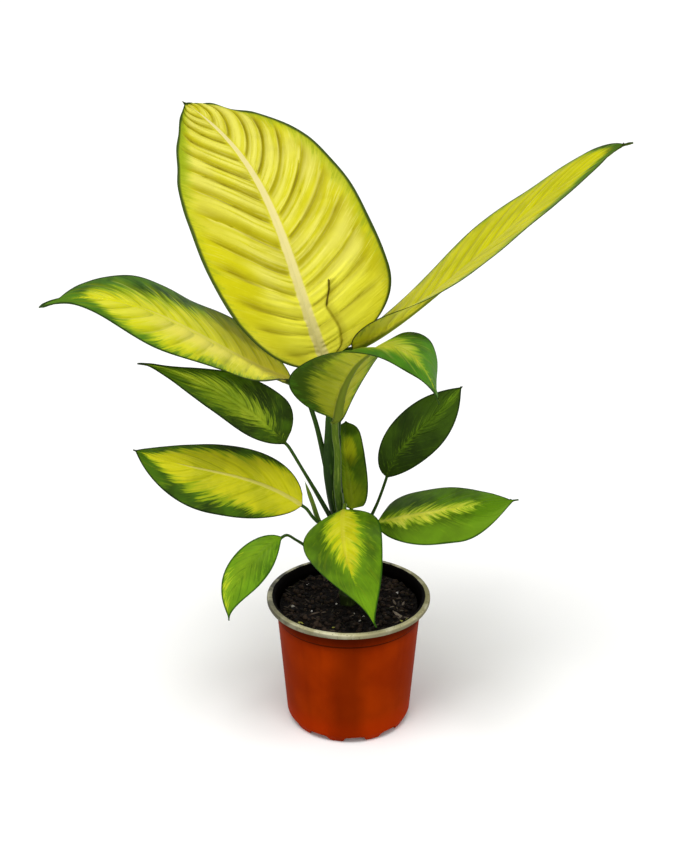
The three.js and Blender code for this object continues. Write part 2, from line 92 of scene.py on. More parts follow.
def sheetFaces(rows, columns):
    # faces of a thin sheet: the upper grid, the lower grid turned over, and a strip round the edge
    i, j = np.meshgrid(np.arange(rows - 1), np.arange(columns - 1), indexing="ij")
    a = i * columns + j
    upper = np.stack([a, a + 1, a + columns + 1, a + columns], -1).reshape(-1, 4)
    lower = upper[:, ::-1] + rows * columns
    front, back = np.arange(columns), np.arange(columns)[::-1] + (rows - 1) * columns
    right, left = np.arange(1, rows) * columns + columns - 1, np.arange(1, rows - 1)[::-1] * columns
    loop = np.concatenate([front, right, back[1:], left])
    ahead = np.roll(loop, -1)
    edge = np.stack([ahead, loop, loop + rows * columns, ahead + rows * columns], -1)
    return np.concatenate([upper, lower, edge]).tolist()


def ringFaces(rows, columns):
    # faces between closed rings, and a fan to a point at each end, which are the last two vertices
    i, j = np.meshgrid(np.arange(rows - 1), np.arange(columns), indexing="ij")
    k = (j + 1) % columns
    quads = np.stack([i * columns + j, i * columns + k, (i + 1) * columns + k, (i + 1) * columns + j], -1)
    a = np.arange(columns)
    b = (a + 1) % columns
    last = (rows - 1) * columns
    start = np.stack([np.full(columns, rows * columns), b, a], -1)
    end = np.stack([np.full(columns, rows * columns + 1), last + a, last + b], -1)
    return quads.reshape(-1, 4).tolist() + start.tolist() + end.tolist()


def makeObject(name, points, faces, materials):
    # an object from points in metres, with smooth faces
    mesh = bpy.data.meshes.new(name)
    mesh.from_pydata(points.tolist(), [], faces)
    for material in materials:
        mesh.materials.append(material)
    mesh.polygons.foreach_set("use_smooth", np.ones(len(mesh.polygons), bool))
    item = bpy.data.objects.new(name, mesh)
    bpy.context.scene.collection.objects.link(item)
    return item


def makeSheet(name, upper, lower, material):
    # a closed thin sheet between two grids of points in mm
    points = np.concatenate([upper.reshape(-1, 3), lower.reshape(-1, 3)]) * mm
    return makeObject(name, points, sheetFaces(*upper.shape[:2]), [material])


def addPiece(piece, replaced, readings=None):
    # gives the piece its point attributes, ties it to the plant's one body and hides the solid that it
    # replaces.
    # A reading on one grid of a sheet is repeated for the other.
    for key, values in (readings or {}).items():
        layer = piece.data.attributes.new(key, "FLOAT", "POINT")
        layer.data.foreach_set("value", np.resize(values, len(piece.data.vertices)).astype(np.float32))
    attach(piece, "root")
    if replaced:
        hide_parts(replaced)


def addNode(tree, kind, inputs=(), output=0, **settings):
    # one node: its settings, and for its inputs, in order or by key, a value, a hex colour or the socket that
    # feeds each. Gives the output socket that is asked for.
    node = tree.nodes.new("ShaderNode" + kind)
    for key, value in settings.items():
        setattr(node, key, value)
    for key, given in inputs.items() if isinstance(inputs, dict) else enumerate(inputs):
        if isinstance(given, bpy.types.NodeSocket):
            tree.links.new(given, node.inputs[key])
        else:
            node.inputs[key].default_value = toLinear(given) if isinstance(given, str) else given
    return node.outputs[output]


def newMaterial(name):
    # an empty material, and addNode for its tree
    material = bpy.data.materials.new(name)
    material.use_nodes = True
    material.node_tree.nodes.clear()
    return material, functools.partial(addNode, material.node_tree)


def finishMaterial(material, shader):
    tree = material.node_tree
    tree.links.new(shader, tree.nodes.new("ShaderNodeOutputMaterial").inputs["Surface"])
    return material


def layered(add, colour, layers):
    # colour with others laid over it: each layer is a colour, what steers it, the values of that at which its
    # smooth step starts and ends (start above end for a falling step), and its greatest share
    for over, steer, start, end, share in layers:
        amount = add("MapRange", [steer, start, end, 0.0, share], interpolation_type="SMOOTHSTEP")
        colour = add("Mix", {0: amount, 6: colour, 7: over}, 2, data_type="RGBA")
    return colour


# What most leaves share
usualLeaf = dict(
    slot="leaf_variegated",
    drip=0.02,         # share of the course past the widest place that only the tail takes up
    tail=0.05,         # the narrow tail's width, as a share of the half's
    roll=0,            # degrees that the blade is rolled about its midrib
    open=1,            # the power by which the fold goes over from the base's angle to the tip's
    curl=-12,          # degrees that each half bends from the midrib to its margin
    wave=0.5,          # mm that the margin waves up and down
    waves=2,           # waves along the blade
    blade=0.7,         # mm of thickness beside the midrib
    sweep=(0.2, 0.2),  # how strongly the lateral veins bow to the tip
    relief=0.35,       # mm of pleat over the lateral veins
    ribBlur=0.8,       # how feathered the edge of the midrib's pale band is
    ribEnd=0.8,        # course at which that band ends
    drift=0.0,         # share across of the pale patch's middle
    sideShade=0.0,     # share of the painted shade on one side of each vein, and of the painted light on the other
    edgeWidth=1.0,     # times the usual width of the dark margin
    grooveShade=0.3,   # share of the groove's tone over the veins, darker tissue there and painted shade
    sheen=0.09,        # the skin's specular level
    patches=[],
)

# A leaf's tones: deep and green tissue, the lime at the pale patch's edge, its two yellows, the painted light
# on its pleats, which also draws fine pale streaks, the midrib's band, the under face, the grooves, partly
# darker tissue and partly painted shade, and the margin
toneNames = "deep green lime bright second ridge cream under groove edge".split()

# Shape values in mm and degrees, as the solids have them. Pairs are the left and the right half, seen from
# above with the tip forward. rib: four points of the midrib at 0, 1/3, 2/3 and 1 of its course. widest: the
# course of the widest place. face: where the upper face looks. fold: each half's angle at the base and at
# the tip. stalk: the petiole's points from the cane up, and stalkRadius its radii there and at the blade.
# ribBand: half the width of the midrib's pale band. feather, soft: how far the pale patch's edge is drawn
# out along the veins, and how soft it is. flecks, crest, ribShow: shares of green flecks, of painted light on
# the pleats' crests, and of the band.
# pale: how far out the pale patch reaches, as a share of the half's width, at shares of the course.
# patches: course and share across of the middle, reach along and across, colour, share and softness. Three
# are painted light on parts that lie in shade and one is a painted shadow, as noted at each.
leaves = [usualLeaf | leaf | dict(zip(toneNames, leaf["tones"].split())) for leaf in (
    dict(name="leaf_01", slot="leaf_yellow",
         rib=[(-17, 2, 282), (-40, 12, 351), (-67, 48, 404), (-119, 111, 440)],
         width=(123, 128), widest=(0.4, 0.23), round=(0.56, 0.59), taper=(0.84, 0.84),
         face=(0.1, -0.75, 0.65), fold=((34, 4), (26, 0)), curl=-20, wave=2,
         veins=14, blade=0.8, stalk=[(-5, 2, 150), (-13, 4, 195), (-13, 4, 238)], stalkRadius=(5.2, 2.6),
         sweep=(0.115, 0.1), relief=2.6, ribBand=4.8, ribBlur=0.5, ribEnd=1.1, sideShade=0.6, edgeWidth=1.6,
         feather=0.14, soft=0.14, flecks=0.4, crest=0.6, grooveShade=0.85, ribShow=1.0,
         pale=([(0, 1.1), (0.6, 0.98), (0.85, 0.8), (0.95, 0.6), (1, 0.2)],
               [(0, 1.1), (0.5, 0.97), (0.9, 0.93), (1, 0.5)]),
         tones="#6f8410 #93a412 #bac41a #dcd622 #cbc41a #f6f07a #efe39a #b4b830 #978a08 #39501a",
         # its first patch is painted light on the base, which lies in shade
         patches=[(0.03, 0.1, 0.3, 1.5, "#fffb50", 0.8, 0.3), (0.8, -0.95, 0.26, 0.3, "#9db31c", 0.75, 0.4),
                  (0.55, 1.05, 0.5, 0.22, "#b3b91c", 0.7, 0.3),
                  (0.32, -0.75, 0.45, 0.45, "#d2cc06", 0.6, 0.4),
                  (1.0, 0.0, 0.025, 1.0, "#4f6a14", 0.6, 0.2)]),
    dict(name="leaf_02", slot="leaf_yellow", rib=[(2, 8, 291), (65, 6, 337), (134, 1, 402), (184, -8, 438)],
         width=(104, 104), widest=(0.45, 0.45), round=(0.6, 0.6), taper=(0.72, 0.72), drip=0.05, tail=0.06,
         face=(0, 0, 1), fold=((0, 6), (45, 2)), open=3, curl=-3, wave=1.5,
         veins=14, blade=0.8, stalk=[(-3, 3, 152), (-9, 9, 200), (-7, 11, 250)], stalkRadius=(2.8, 2.4),
         sweep=(0.11, 0.11), relief=1.0, ribBand=3.2, ribBlur=0.5, ribEnd=0.9, sideShade=0.35, edgeWidth=1.3,
         feather=0.3, soft=0.12, flecks=0.5, crest=0.5, grooveShade=0.5, ribShow=0.35,
         pale=([(0, 1.1), (0.6, 0.98), (0.85, 0.88), (0.93, 0.5), (1, -0.3)],
               [(0, 1.1), (0.4, 0.98), (0.65, 0.9), (0.8, 0.75), (0.92, 0.35), (1, -0.3)]),
         tones="#35500e #5c8518 #a6ba0c #d2d002 #c0c002 #e2de18 #e8e058 #a8a610 #a39e10 #3a4a0e",
         patches=[(0.8, 0.95, 0.2, 0.32, "#5b8418", 0.75, 0.5), (1.0, 0.0, 0.1, 1.6, "#3f6412", 0.95, 0.25),
                  # this last patch is painted light on the lower fold, which lies in shade
                  (0.1, 0.6, 0.28, 0.9, "#eaea2a", 0.7, 0.4)]),
    dict(name="leaf_03", rib=[(-8, -10, 242), (4, -25, 290), (32, -51, 312), (59, -64, 277)],
         width=(62, 88), widest=(0.45, 0.33), round=(0.8, 0.81), taper=(0.39, 1.36), drip=0.04, tail=0.08,
         face=(0, 0, 1), fold=((21, 1), (36, -2)), wave=1,
         veins=10, blade=0.8, stalk=[(-4, -3, 152), (-8, -8, 190), (-8, -10, 218)], stalkRadius=(2.9, 2.5),
         sweep=(0.08, 0.08), relief=0.9, ribBand=2.4, ribEnd=0.7, sideShade=0.12, feather=0.4, soft=0.12,
         flecks=0.3, crest=0.2, ribShow=0.3, sheen=0.1,
         pale=([(0, 0.95), (0.2, 0.85), (0.4, 0.6), (0.6, 0.42), (0.75, 0.15), (0.9, -0.1), (1, -0.3)],
               [(0, 0.62), (0.15, 0.6), (0.3, 0.5), (0.45, 0.45), (0.6, 0.4), (0.75, 0.23), (0.9, 0.05),
                (1, -0.2)]),
         tones="#274c0a #4e861a #9ab824 #cdcf30 #bcc026 #dfe070 #e2dc74 #93981f #56701a #2c4410",
         patches=[(0.15, 0.45, 0.4, 0.6, "#77820e", 0.6, 0.4), (0.2, 1.05, 0.5, 0.7, "#2a4606", 0.9, 0.3),
                  (0.75, -0.3, 0.3, 0.7, "#6a9a35", 0.3, 0.3),
                  (0.55, 0.35, 0.25, 0.35, "#c4c832", 0.5, 0.4)]),
    dict(name="leaf_04", slot="leaf_yellow",
         rib=[(-40, 2, 268), (-91, -18, 303), (-144, -42, 339), (-200, -60, 343)],
         width=(113, 106), widest=(0.48, 0.28), round=(1.3, 0.6), taper=(1.71, 0.76), drip=0.1, tail=0.2,
         face=(0, -0.3, 1), fold=((28, 0), (4, 0)), wave=2,
         veins=12, blade=0.8, stalk=[(-7, 1, 152), (-17, 2, 205), (-25, 4, 240)], stalkRadius=(2.4, 1.9),
         sweep=(0.09, 0.09), relief=0.8, ribBand=3.2, sideShade=0.3, edgeWidth=1.3, feather=0.5, soft=0.16,
         flecks=0.4, crest=0.3, grooveShade=0.35, ribShow=0.35,
         pale=([(0, 1.1), (0.45, 0.97), (0.57, 0.9), (0.65, 0.84), (0.75, 0.74), (0.8, 0.47), (0.85, 0.1),
                (1, -0.5)],
               [(0, 1.1), (0.38, 0.6), (0.51, 0.42), (0.62, 0.4), (0.72, 0.35), (0.82, 0.3), (0.86, 0.1),
                (1, -0.5)]),
         tones="#2c4f0c #55841a #9fb91a #e6e41a #d8d81a #f0ee66 #f0e488 #8fa02c #8f9712 #27400c",
         patches=[(0.42, -0.32, 0.32, 0.42, "#f4ea62", 0.8, 0.4),
                  # painted light on the base, which lies in shade, and an olive patch that is a painted
                  # shadow of leaf_01
                  (0.05, -0.3, 0.3, 0.9, "#fff84c", 0.9, 0.3), (0.19, 0.8, 0.17, 0.4, "#868a0a", 0.6, 0.15),
                  (1.0, 0.0, 0.17, 1.7, "#56841a", 0.85, 0.2)]),
    dict(name="leaf_05", slot="leaf_green",
         rib=[(-44, -22, 231), (-70, -37, 263), (-103, -50, 290), (-138, -62, 305)],
         width=(31, 46), widest=(0.36, 0.18), round=(0.85, 0.56), taper=(1.02, 2.18), drip=0.06, tail=0.16,
         face=(0, -0.75, 0.65), fold=((8, 4), (8, 4)), curl=-10,
         veins=8, stalk=[(-5, -1, 148), (-22, -10, 185), (-34, -17, 211)], stalkRadius=(1.8, 1.3),
         ribBand=1.2, ribBlur=0.6, feather=0.9, soft=0.25, flecks=0.2, crest=0.15, grooveShade=0.4,
         ribShow=0.0,
         pale=([(0, -0.3), (0.15, 0.05), (0.3, 0.45), (0.6, 0.5), (0.8, 0.3), (1, -0.1)],
               [(0, -0.3), (0.15, -0.05), (0.3, 0.25), (0.6, 0.35), (0.8, 0.2), (1, -0.2)]),
         tones="#253704 #4a6c0c #7e9918 #a8ba2a #88a21c #94a62e #8fa62e #56701e #1b3204 #182c04"),
    dict(name="leaf_06", rib=[(-33, -26, 185), (-70, -43, 213), (-107, -61, 231), (-142, -74, 249)],
         width=(57, 58), widest=(0.53, 0.37), round=(0.59, 0.55), taper=(0.98, 0.83),
         face=(0, -0.8, 0.6), fold=((-4, -4), (-16, -44)),
         veins=8, stalk=[(-3, -2, 141), (-15, -12, 158), (-25, -20, 172)], stalkRadius=(1.7, 1.3),
         sweep=(0.22, 0.22), ribBand=1.3, ribBlur=0.9, ribEnd=0.9, feather=0.45, soft=0.09, flecks=0.15,
         crest=0.2, ribShow=0.6,
         pale=([(0, 1.1), (0.15, 1.0), (0.3, 0.74), (0.45, 0.62), (0.6, 0.6), (0.75, 0.5), (0.9, 0.2),
                (1, -0.3)],
               [(0, 1.1), (0.2, 0.85), (0.35, 0.7), (0.5, 0.7), (0.65, 0.78), (0.8, 0.6), (0.92, 0.25),
                (1, -0.2)]),
         tones="#243804 #466c0c #92aa12 #cfcc16 #b6b812 #d6d23c #d6cc70 #7d8e22 #7c8410 #152804"),
    dict(name="leaf_07", rib=[(-47, -46, 170), (-63, -58, 162), (-77, -66, 144), (-83, -72, 119)],
         width=(29, 25), widest=(0.42, 0.49), round=(0.99, 0.69), taper=(1.5, 1.32), drip=0.03, tail=0.06,
         face=(0, -0.8, 0.6), fold=((6, 6), (6, 6)), wave=0,
         veins=6, stalk=[(-2, -3, 121), (-21, -13, 139), (-37, -27, 158)], stalkRadius=(1.5, 1.1),
         relief=0.3, ribBand=1.0, ribBlur=0.6, drift=0.72, feather=0.9, soft=0.2, flecks=0.8, crest=0.1,
         grooveShade=0.4, ribShow=0.0,
         pale=([(0, -0.6), (0.5, -0.3), (0.62, 0.12), (0.85, 0.24), (0.95, 0.1), (1, -0.1)],
               [(0, -0.6), (0.5, -0.3), (0.62, 0.12), (0.85, 0.24), (0.95, 0.1), (1, -0.1)]),
         tones="#4a7010 #6c9a14 #a2be22 #d8dc22 #b9c81e #dde060 #6d941c #5f8420 #355f0a #2c5206",
         patches=[(0.5, 0.3, 0.9, 1.2, "#96b620", 0.5, 0.6)]),
    dict(name="leaf_08", rib=[(-4, -26, 182), (-4, -48, 169), (3, -62, 145), (19, -66, 110)],
         width=(56, 74), widest=(0.27, 0.21), round=(0.47, 0.4), taper=(1.35, 2.91), tail=0.06,
         face=(0, -0.9, 0.45), roll=28, fold=((-2, -2), (-2, -2)), curl=-20,
         veins=7, stalk=[(-4, -3, 150), (-3, -10, 166), (-3, -17, 178)], stalkRadius=(1.8, 1.4),
         ribBand=1.6, ribEnd=0.6, feather=0.5, soft=0.1, flecks=0.2, crest=0.25, ribShow=0.2,
         pale=([(0, 0.1), (0.05, 0.42), (0.17, 0.48), (0.38, 0.44), (0.5, 0.24), (0.58, 0.02),
                (0.66, -0.25), (1, -0.5)],
               [(0, 0.12), (0.07, 0.36), (0.15, 0.37), (0.26, 0.3), (0.42, 0.22), (0.52, 0.03),
                (0.62, -0.25), (1, -0.5)]),
         tones="#44640a #66900e #98b416 #cfd214 #bdbb12 #dcd84a #dccb58 #6a8c1e #7c8c0e #2a5206",
         patches=[(0.85, 0.0, 0.25, 1.5, "#7fae18", 0.5, 0.4)]),
    dict(name="leaf_09", rib=[(20, -20, 169), (49, -35, 183), (81, -50, 196), (114, -62, 207)],
         width=(62, 59), widest=(0.19, 0.64), round=(0.23, 0.63), taper=(0.95, 1.28), drip=0.06, tail=0.08,
         face=(0, -0.4, 1), fold=((-4, -4), (-4, -4)),
         veins=8, stalk=[(-1, -2, 137), (5, -9, 151), (11, -15, 163)], stalkRadius=(1.8, 1.4),
         sweep=(0.22, 0.22), ribBand=1.4, ribEnd=0.7, feather=0.55, soft=0.12, flecks=0.25, crest=0.2,
         ribShow=0.2,
         pale=([(0, 0.0), (0.1, 0.08), (0.29, 0.17), (0.52, 0.2), (0.68, 0.12), (0.78, -0.1), (1, -0.5)],
               [(0, 0.1), (0.13, 0.28), (0.24, 0.3), (0.47, 0.2), (0.6, 0.1), (0.72, -0.05), (1, -0.5)]),
         tones="#3c5a0a #5c860f #98b822 #dfe048 #c9d030 #e6e47c #e8e270 #628422 #6c8c12 #2a4c0a",
         patches=[(0.5, 0.8, 0.65, 0.6, "#80a824", 0.45, 0.3)]),
    dict(name="leaf_10", slot="leaf_green",
         rib=[(27, 0, 195), (38, -6, 221), (55, -12, 243), (77, -20, 272)],
         width=(34, 37), widest=(0.48, 0.49), round=(0.54, 0.71), taper=(0.89, 1.06),
         face=(-0.2, -0.9, 0.3), fold=((6, 6), (6, 6)), wave=1,
         veins=8, stalk=[(-1, 2, 133), (10, 2, 150), (20, 1, 172)], stalkRadius=(1.5, 1.2),
         relief=0.3, ribBand=0.9, ribBlur=0.6, feather=0.9, soft=0.3, flecks=0.3, crest=0.1, grooveShade=0.5,
         ribShow=0.0,
         pale=([(0, -0.3), (0.5, -0.1), (0.8, 0), (1, 0.2)],
               [(0, -0.3), (0.5, -0.1), (0.8, 0.1), (1, 0.3)]),
         tones="#263a04 #3c580a #58780f #6d8f1a #557c14 #73912c #3f6a12 #4d6c1c #1d3804 #1a3004"),
    dict(name="leaf_11", rib=[(2, 16, 162), (0, 22, 182), (-3, 24, 204), (-2, 18, 230)],
         width=(30, 29), widest=(0.39, 0.5), round=(0.6, 0.22), taper=(0.73, 0.36),
         face=(0, -1, 0.2), fold=((4, 4), (4, 4)), wave=2,
         veins=6, stalk=[(-3, 3, 141), (-1, 9, 148), (1, 14, 154)], stalkRadius=(1.8, 1.4),
         relief=0.3, ribBand=1.2, ribEnd=0.6, feather=0.4, soft=0.2, flecks=0.15, crest=0.1, ribShow=0.1,
         pale=([(0, 0.3), (0.3, 0.2), (0.5, 0.0), (0.8, 0.0), (1, -0.5)],
               [(0, 0.3), (0.25, 0.2), (0.45, 0.0), (0.7, 0.0), (1, -0.5)]),
         tones="#4c6c0a #66860e #86a014 #93a41c #7d9318 #a3ac3c #7e9424 #5d7c24 #3d5c0a #2c4808",
         patches=[(0.14, 0.2, 0.2, 0.9, "#98a81c", 0.7, 0.4), (0.64, 0.28, 0.22, 0.45, "#b4bc14", 0.9, 0.3),
                  (1.02, 0.3, 0.24, 1.3, "#2c4804", 0.85, 0.2), (0.5, 0.2, 0.14, 0.5, "#3f5604", 0.6, 0.5),
                  (0.36, 0.7, 0.16, 0.5, "#3f5604", 0.6, 0.5)]),
)]

bladeGrid = dict(
    rowsPerVein=18,  # rows of the grid for each lateral vein
    mostRows=250,
    halfColumns=40,  # columns from the midrib to each margin
    columnLaw=1.2,   # they stand closer at the midrib
    ribSteps=401,    # points of the midrib's line
    firstSeed=40,
    seedStep=10,     # each leaf draws its noise from up to this many seeds
)

bladeForm = dict(
    marginThickness=0.32,  # mm at the very edge
    ribTipRadius=0.5,      # mm, the midrib's radius at the tip
    ribPower=1.2,          # how that radius is reached
    roundPower=2.2,        # fullness of the outline before its widest place
    taperPower=2.1,        # and after it
    courseLaw=1.15,        # veins stand closer at the base: root = (vein / veins) ^ law
    bowGrowth=3.7,         # veins bow more towards the tip
    bowStart=20,           # and not at all at the base
    bowPower=1.4,          # how a vein turns away from the midrib
    leftShift=0.35,        # the left half's veins start this much of a spacing further on
    uneven=0.16,           # unevenness of the spacing, as a share of it
    bend=0.1,              # and of each vein's line
    grooveSharpness=0.42,  # the pleats' power: lower is a rounder pleat between sharper grooves
    pleatSpread=0.35,      # how much higher some pleats are than others
    secondPleat=0.75,      # height of the finer pleats, as a share
    softLumps=0.25,        # height of the soft lumps between the veins, as a share
    crumple=0.5,           # height of the lumps at the margin, as a share of the pleats' relief
    ribLift=0.3,           # mm that the blade rises at the midrib
    ribGutter=0.25,        # mm that it sinks beside it
    keelColour="#566c12",  # the midrib on the under face
)

# A healed tear on the right half of the largest blade: the course and the share across of its line, from
# the margin to its upper end, and in mm its groove, the flap that sinks on its outer side, and the lip on the
# other
tear = dict(
    leaf="leaf_01",
    course=(0.03, 0.058, 0.088, 0.126, 0.158, 0.176, 0.204, 0.232),
    across=(0.5, 0.41, 0.36, 0.28, 0.23, 0.25, 0.3, 0.33),
    overrun=0.004,   # share of the course beyond the upper end
    fade=0.03,       # share of the course in which the relief fades there
    depth=0.9, width=1.2,
    flap=1.2, flapWidth=5,
    lip=0.5, lipWidth=3,
    blend=1.6,
    farAway=99.0,    # reading where there is no tear
    colour="#4c3f0c",
)


def midrib(leaf, u):
    # cubic through four points, by arc length: its place, and the unit axes along, up (out of the
    # upper face) and across (to the right)
    a, b, c, d = (np.array(p, float) for p in leaf["rib"])
    h1, h2 = (-5 * a + 18 * b - 9 * c + 2 * d) / 6, (2 * a - 9 * b + 18 * c - 5 * d) / 6
    t = np.linspace(0, 1, bladeGrid["ribSteps"])[:, None]
    line = (1 - t) ** 3 * a + 3 * (1 - t) ** 2 * t * h1 + 3 * (1 - t) * t * t * h2 + t ** 3 * d
    slope = 3 * (1 - t) ** 2 * (h1 - a) + 6 * (1 - t) * t * (h2 - h1) + 3 * t * t * (d - h2)
    run = runAlong(line)
    share = run / run[-1]
    place, along = readCurve(u, share, line), unit(readCurve(u, share, slope))
    face = np.array(leaf["face"], float)
    up = unit(face - (along @ face)[..., None] * along)
    roll = math.radians(leaf["roll"])
    up = up * math.cos(roll) + np.cross(along, up) * math.sin(roll)
    return place, along, up, np.cross(along, up)


def pick(leaf, key, v):
    return np.where(v > 0, leaf[key][1], leaf[key][0])


def keelRadius(leaf, u):
    # the midrib's radius in mm: thin + (thick - thin) (1 - u)^ribPower
    thin = bladeForm["ribTipRadius"]
    return thin + (leaf["stalkRadius"][1] - thin) * (1 - u) ** bladeForm["ribPower"]


def halfWidth(leaf, u, v):
    # half the width in mm: rounds in to the stalk as (1 - s^roundPower)^round before the widest place, tapers
    # as (1 - t^taperPower)^taper after it, ends in a narrow tail, and is never less than the midrib's radius
    widest = pick(leaf, "widest", v)
    s = np.clip((widest - u) / widest, 0, 1)
    t = np.clip((u - widest) / (1 - widest), 0, 1)
    body = np.clip(1 - (t / (1 - leaf["drip"])) ** bladeForm["taperPower"], 0, 1) ** pick(leaf, "taper", v)
    tail = leaf["tail"] * np.sqrt(1 - t) * np.minimum(1, 3 * t)
    base = (1 - s ** bladeForm["roundPower"]) ** pick(leaf, "round", v)
    share = np.where(u < widest, base, np.hypot(body, tail))
    return np.hypot(pick(leaf, "width", v) / 2 * share, keelRadius(leaf, u))


def sweptCourse(leaf, q, v):
    # the course of a point on the lateral vein that leaves the midrib at q, at the share v across:
    # 1 - (1 - q) exp(-k |v|^bowPower), where k = sweep e^(bowGrowth q) (1 - e^(-bowStart q))
    growth, start = np.exp(bladeForm["bowGrowth"] * q), 1 - np.exp(-bladeForm["bowStart"] * q)
    bow = pick(leaf, "sweep", v) * growth * start
    return 1 - (1 - q) * np.exp(-bow * np.abs(v) ** bladeForm["bowPower"])


def bladePoint(leaf, u, v):
    # a point of the upper face in mm. Each half is an arc that starts at the fold angle and bends by the
    # curl, and the margin waves up and down.
    place, along, up, across = midrib(leaf, u)
    out, half = np.abs(v), halfWidth(leaf, u, v)
    (leftBase, leftTip), (rightBase, rightTip) = leaf["fold"]
    rest = (1 - u) ** leaf["open"]
    leftFold = leftTip + (leftBase - leftTip) * rest
    rightFold = rightTip + (rightBase - rightTip) * rest
    fold, curl = np.radians(np.where(v > 0, rightFold, leftFold)), math.radians(leaf["curl"])
    sideways = half * (np.sin(fold + curl * out) - np.sin(fold)) / curl
    lift = half * (np.cos(fold) - np.cos(fold + curl * out)) / curl
    phase = leaf["waves"] * u + np.where(v > 0, 0, bladeForm["leftShift"])
    wave = leaf["wave"] * out * out * np.sin(2 * np.pi * phase) * np.sin(np.pi * u) ** 0.7
    return place + across * (np.sign(v) * sideways)[..., None] + up * (lift + wave)[..., None]


def veinCount(leaf, q, v, seed):
    # whole numbers where a lateral vein runs, with the left half shifted and the spacing a little uneven
    count = leaf["veins"] * q ** (1 / bladeForm["courseLaw"])
    uneven = bladeForm["uneven"] * latticeNoise(count * 0.8 + 7, np.sign(v) * 3 + 5, seed)
    bend = bladeForm["bend"] * latticeNoise(count * 0.9, np.abs(v) * 4 + np.sign(v) * 9, seed + 1)
    return count + np.where(v > 0, 0, bladeForm["leftShift"]) + uneven + bend * np.abs(v)


def veinRelief(leaf, q, v, count, seed):
    # from -1 in a groove to 0.5 on a pleat: a groove over each lateral vein and a rounded pleat between,
    # sin(pi d)^sharpness of the distance d to the nearest vein, finer grooves at thirds of the spacing that
    # die out, soft lumps, and all of it fading to the margin
    out, sharp = np.abs(v), bladeForm["grooveSharpness"]
    nearest = np.abs(count - np.round(count))
    uneven = latticeNoise(np.round(count) * 1.7, np.sign(v) * 2 + 4, seed + 2)
    main = (np.sin(np.pi * nearest) ** sharp - 0.75) * (1 + bladeForm["pleatSpread"] * uneven)
    fine = count * 3 + 0.2
    between = np.abs(fine - np.round(fine))
    chance = smoothStep(latticeNoise(np.round(fine) * 2.3, out * 1.5, seed + 3), -0.6, 0.4)
    second = (np.sin(np.pi * between) ** sharp - 0.7) * chance
    reach = smoothStep(out, 0.02, 0.1) * (1 - smoothStep(out, 0.62, 0.98)) * np.sin(np.pi * q) ** 0.4
    near = smoothStep(out, 0.02, 0.08) * (1 - smoothStep(out, 0.3, 0.85))
    soft = bladeForm["softLumps"] * latticeNoise(q * 9, v * 3 + 8, seed + 4) * smoothStep(out, 0.1, 0.5)
    return main * reach + bladeForm["secondPleat"] * second * near * reach + soft


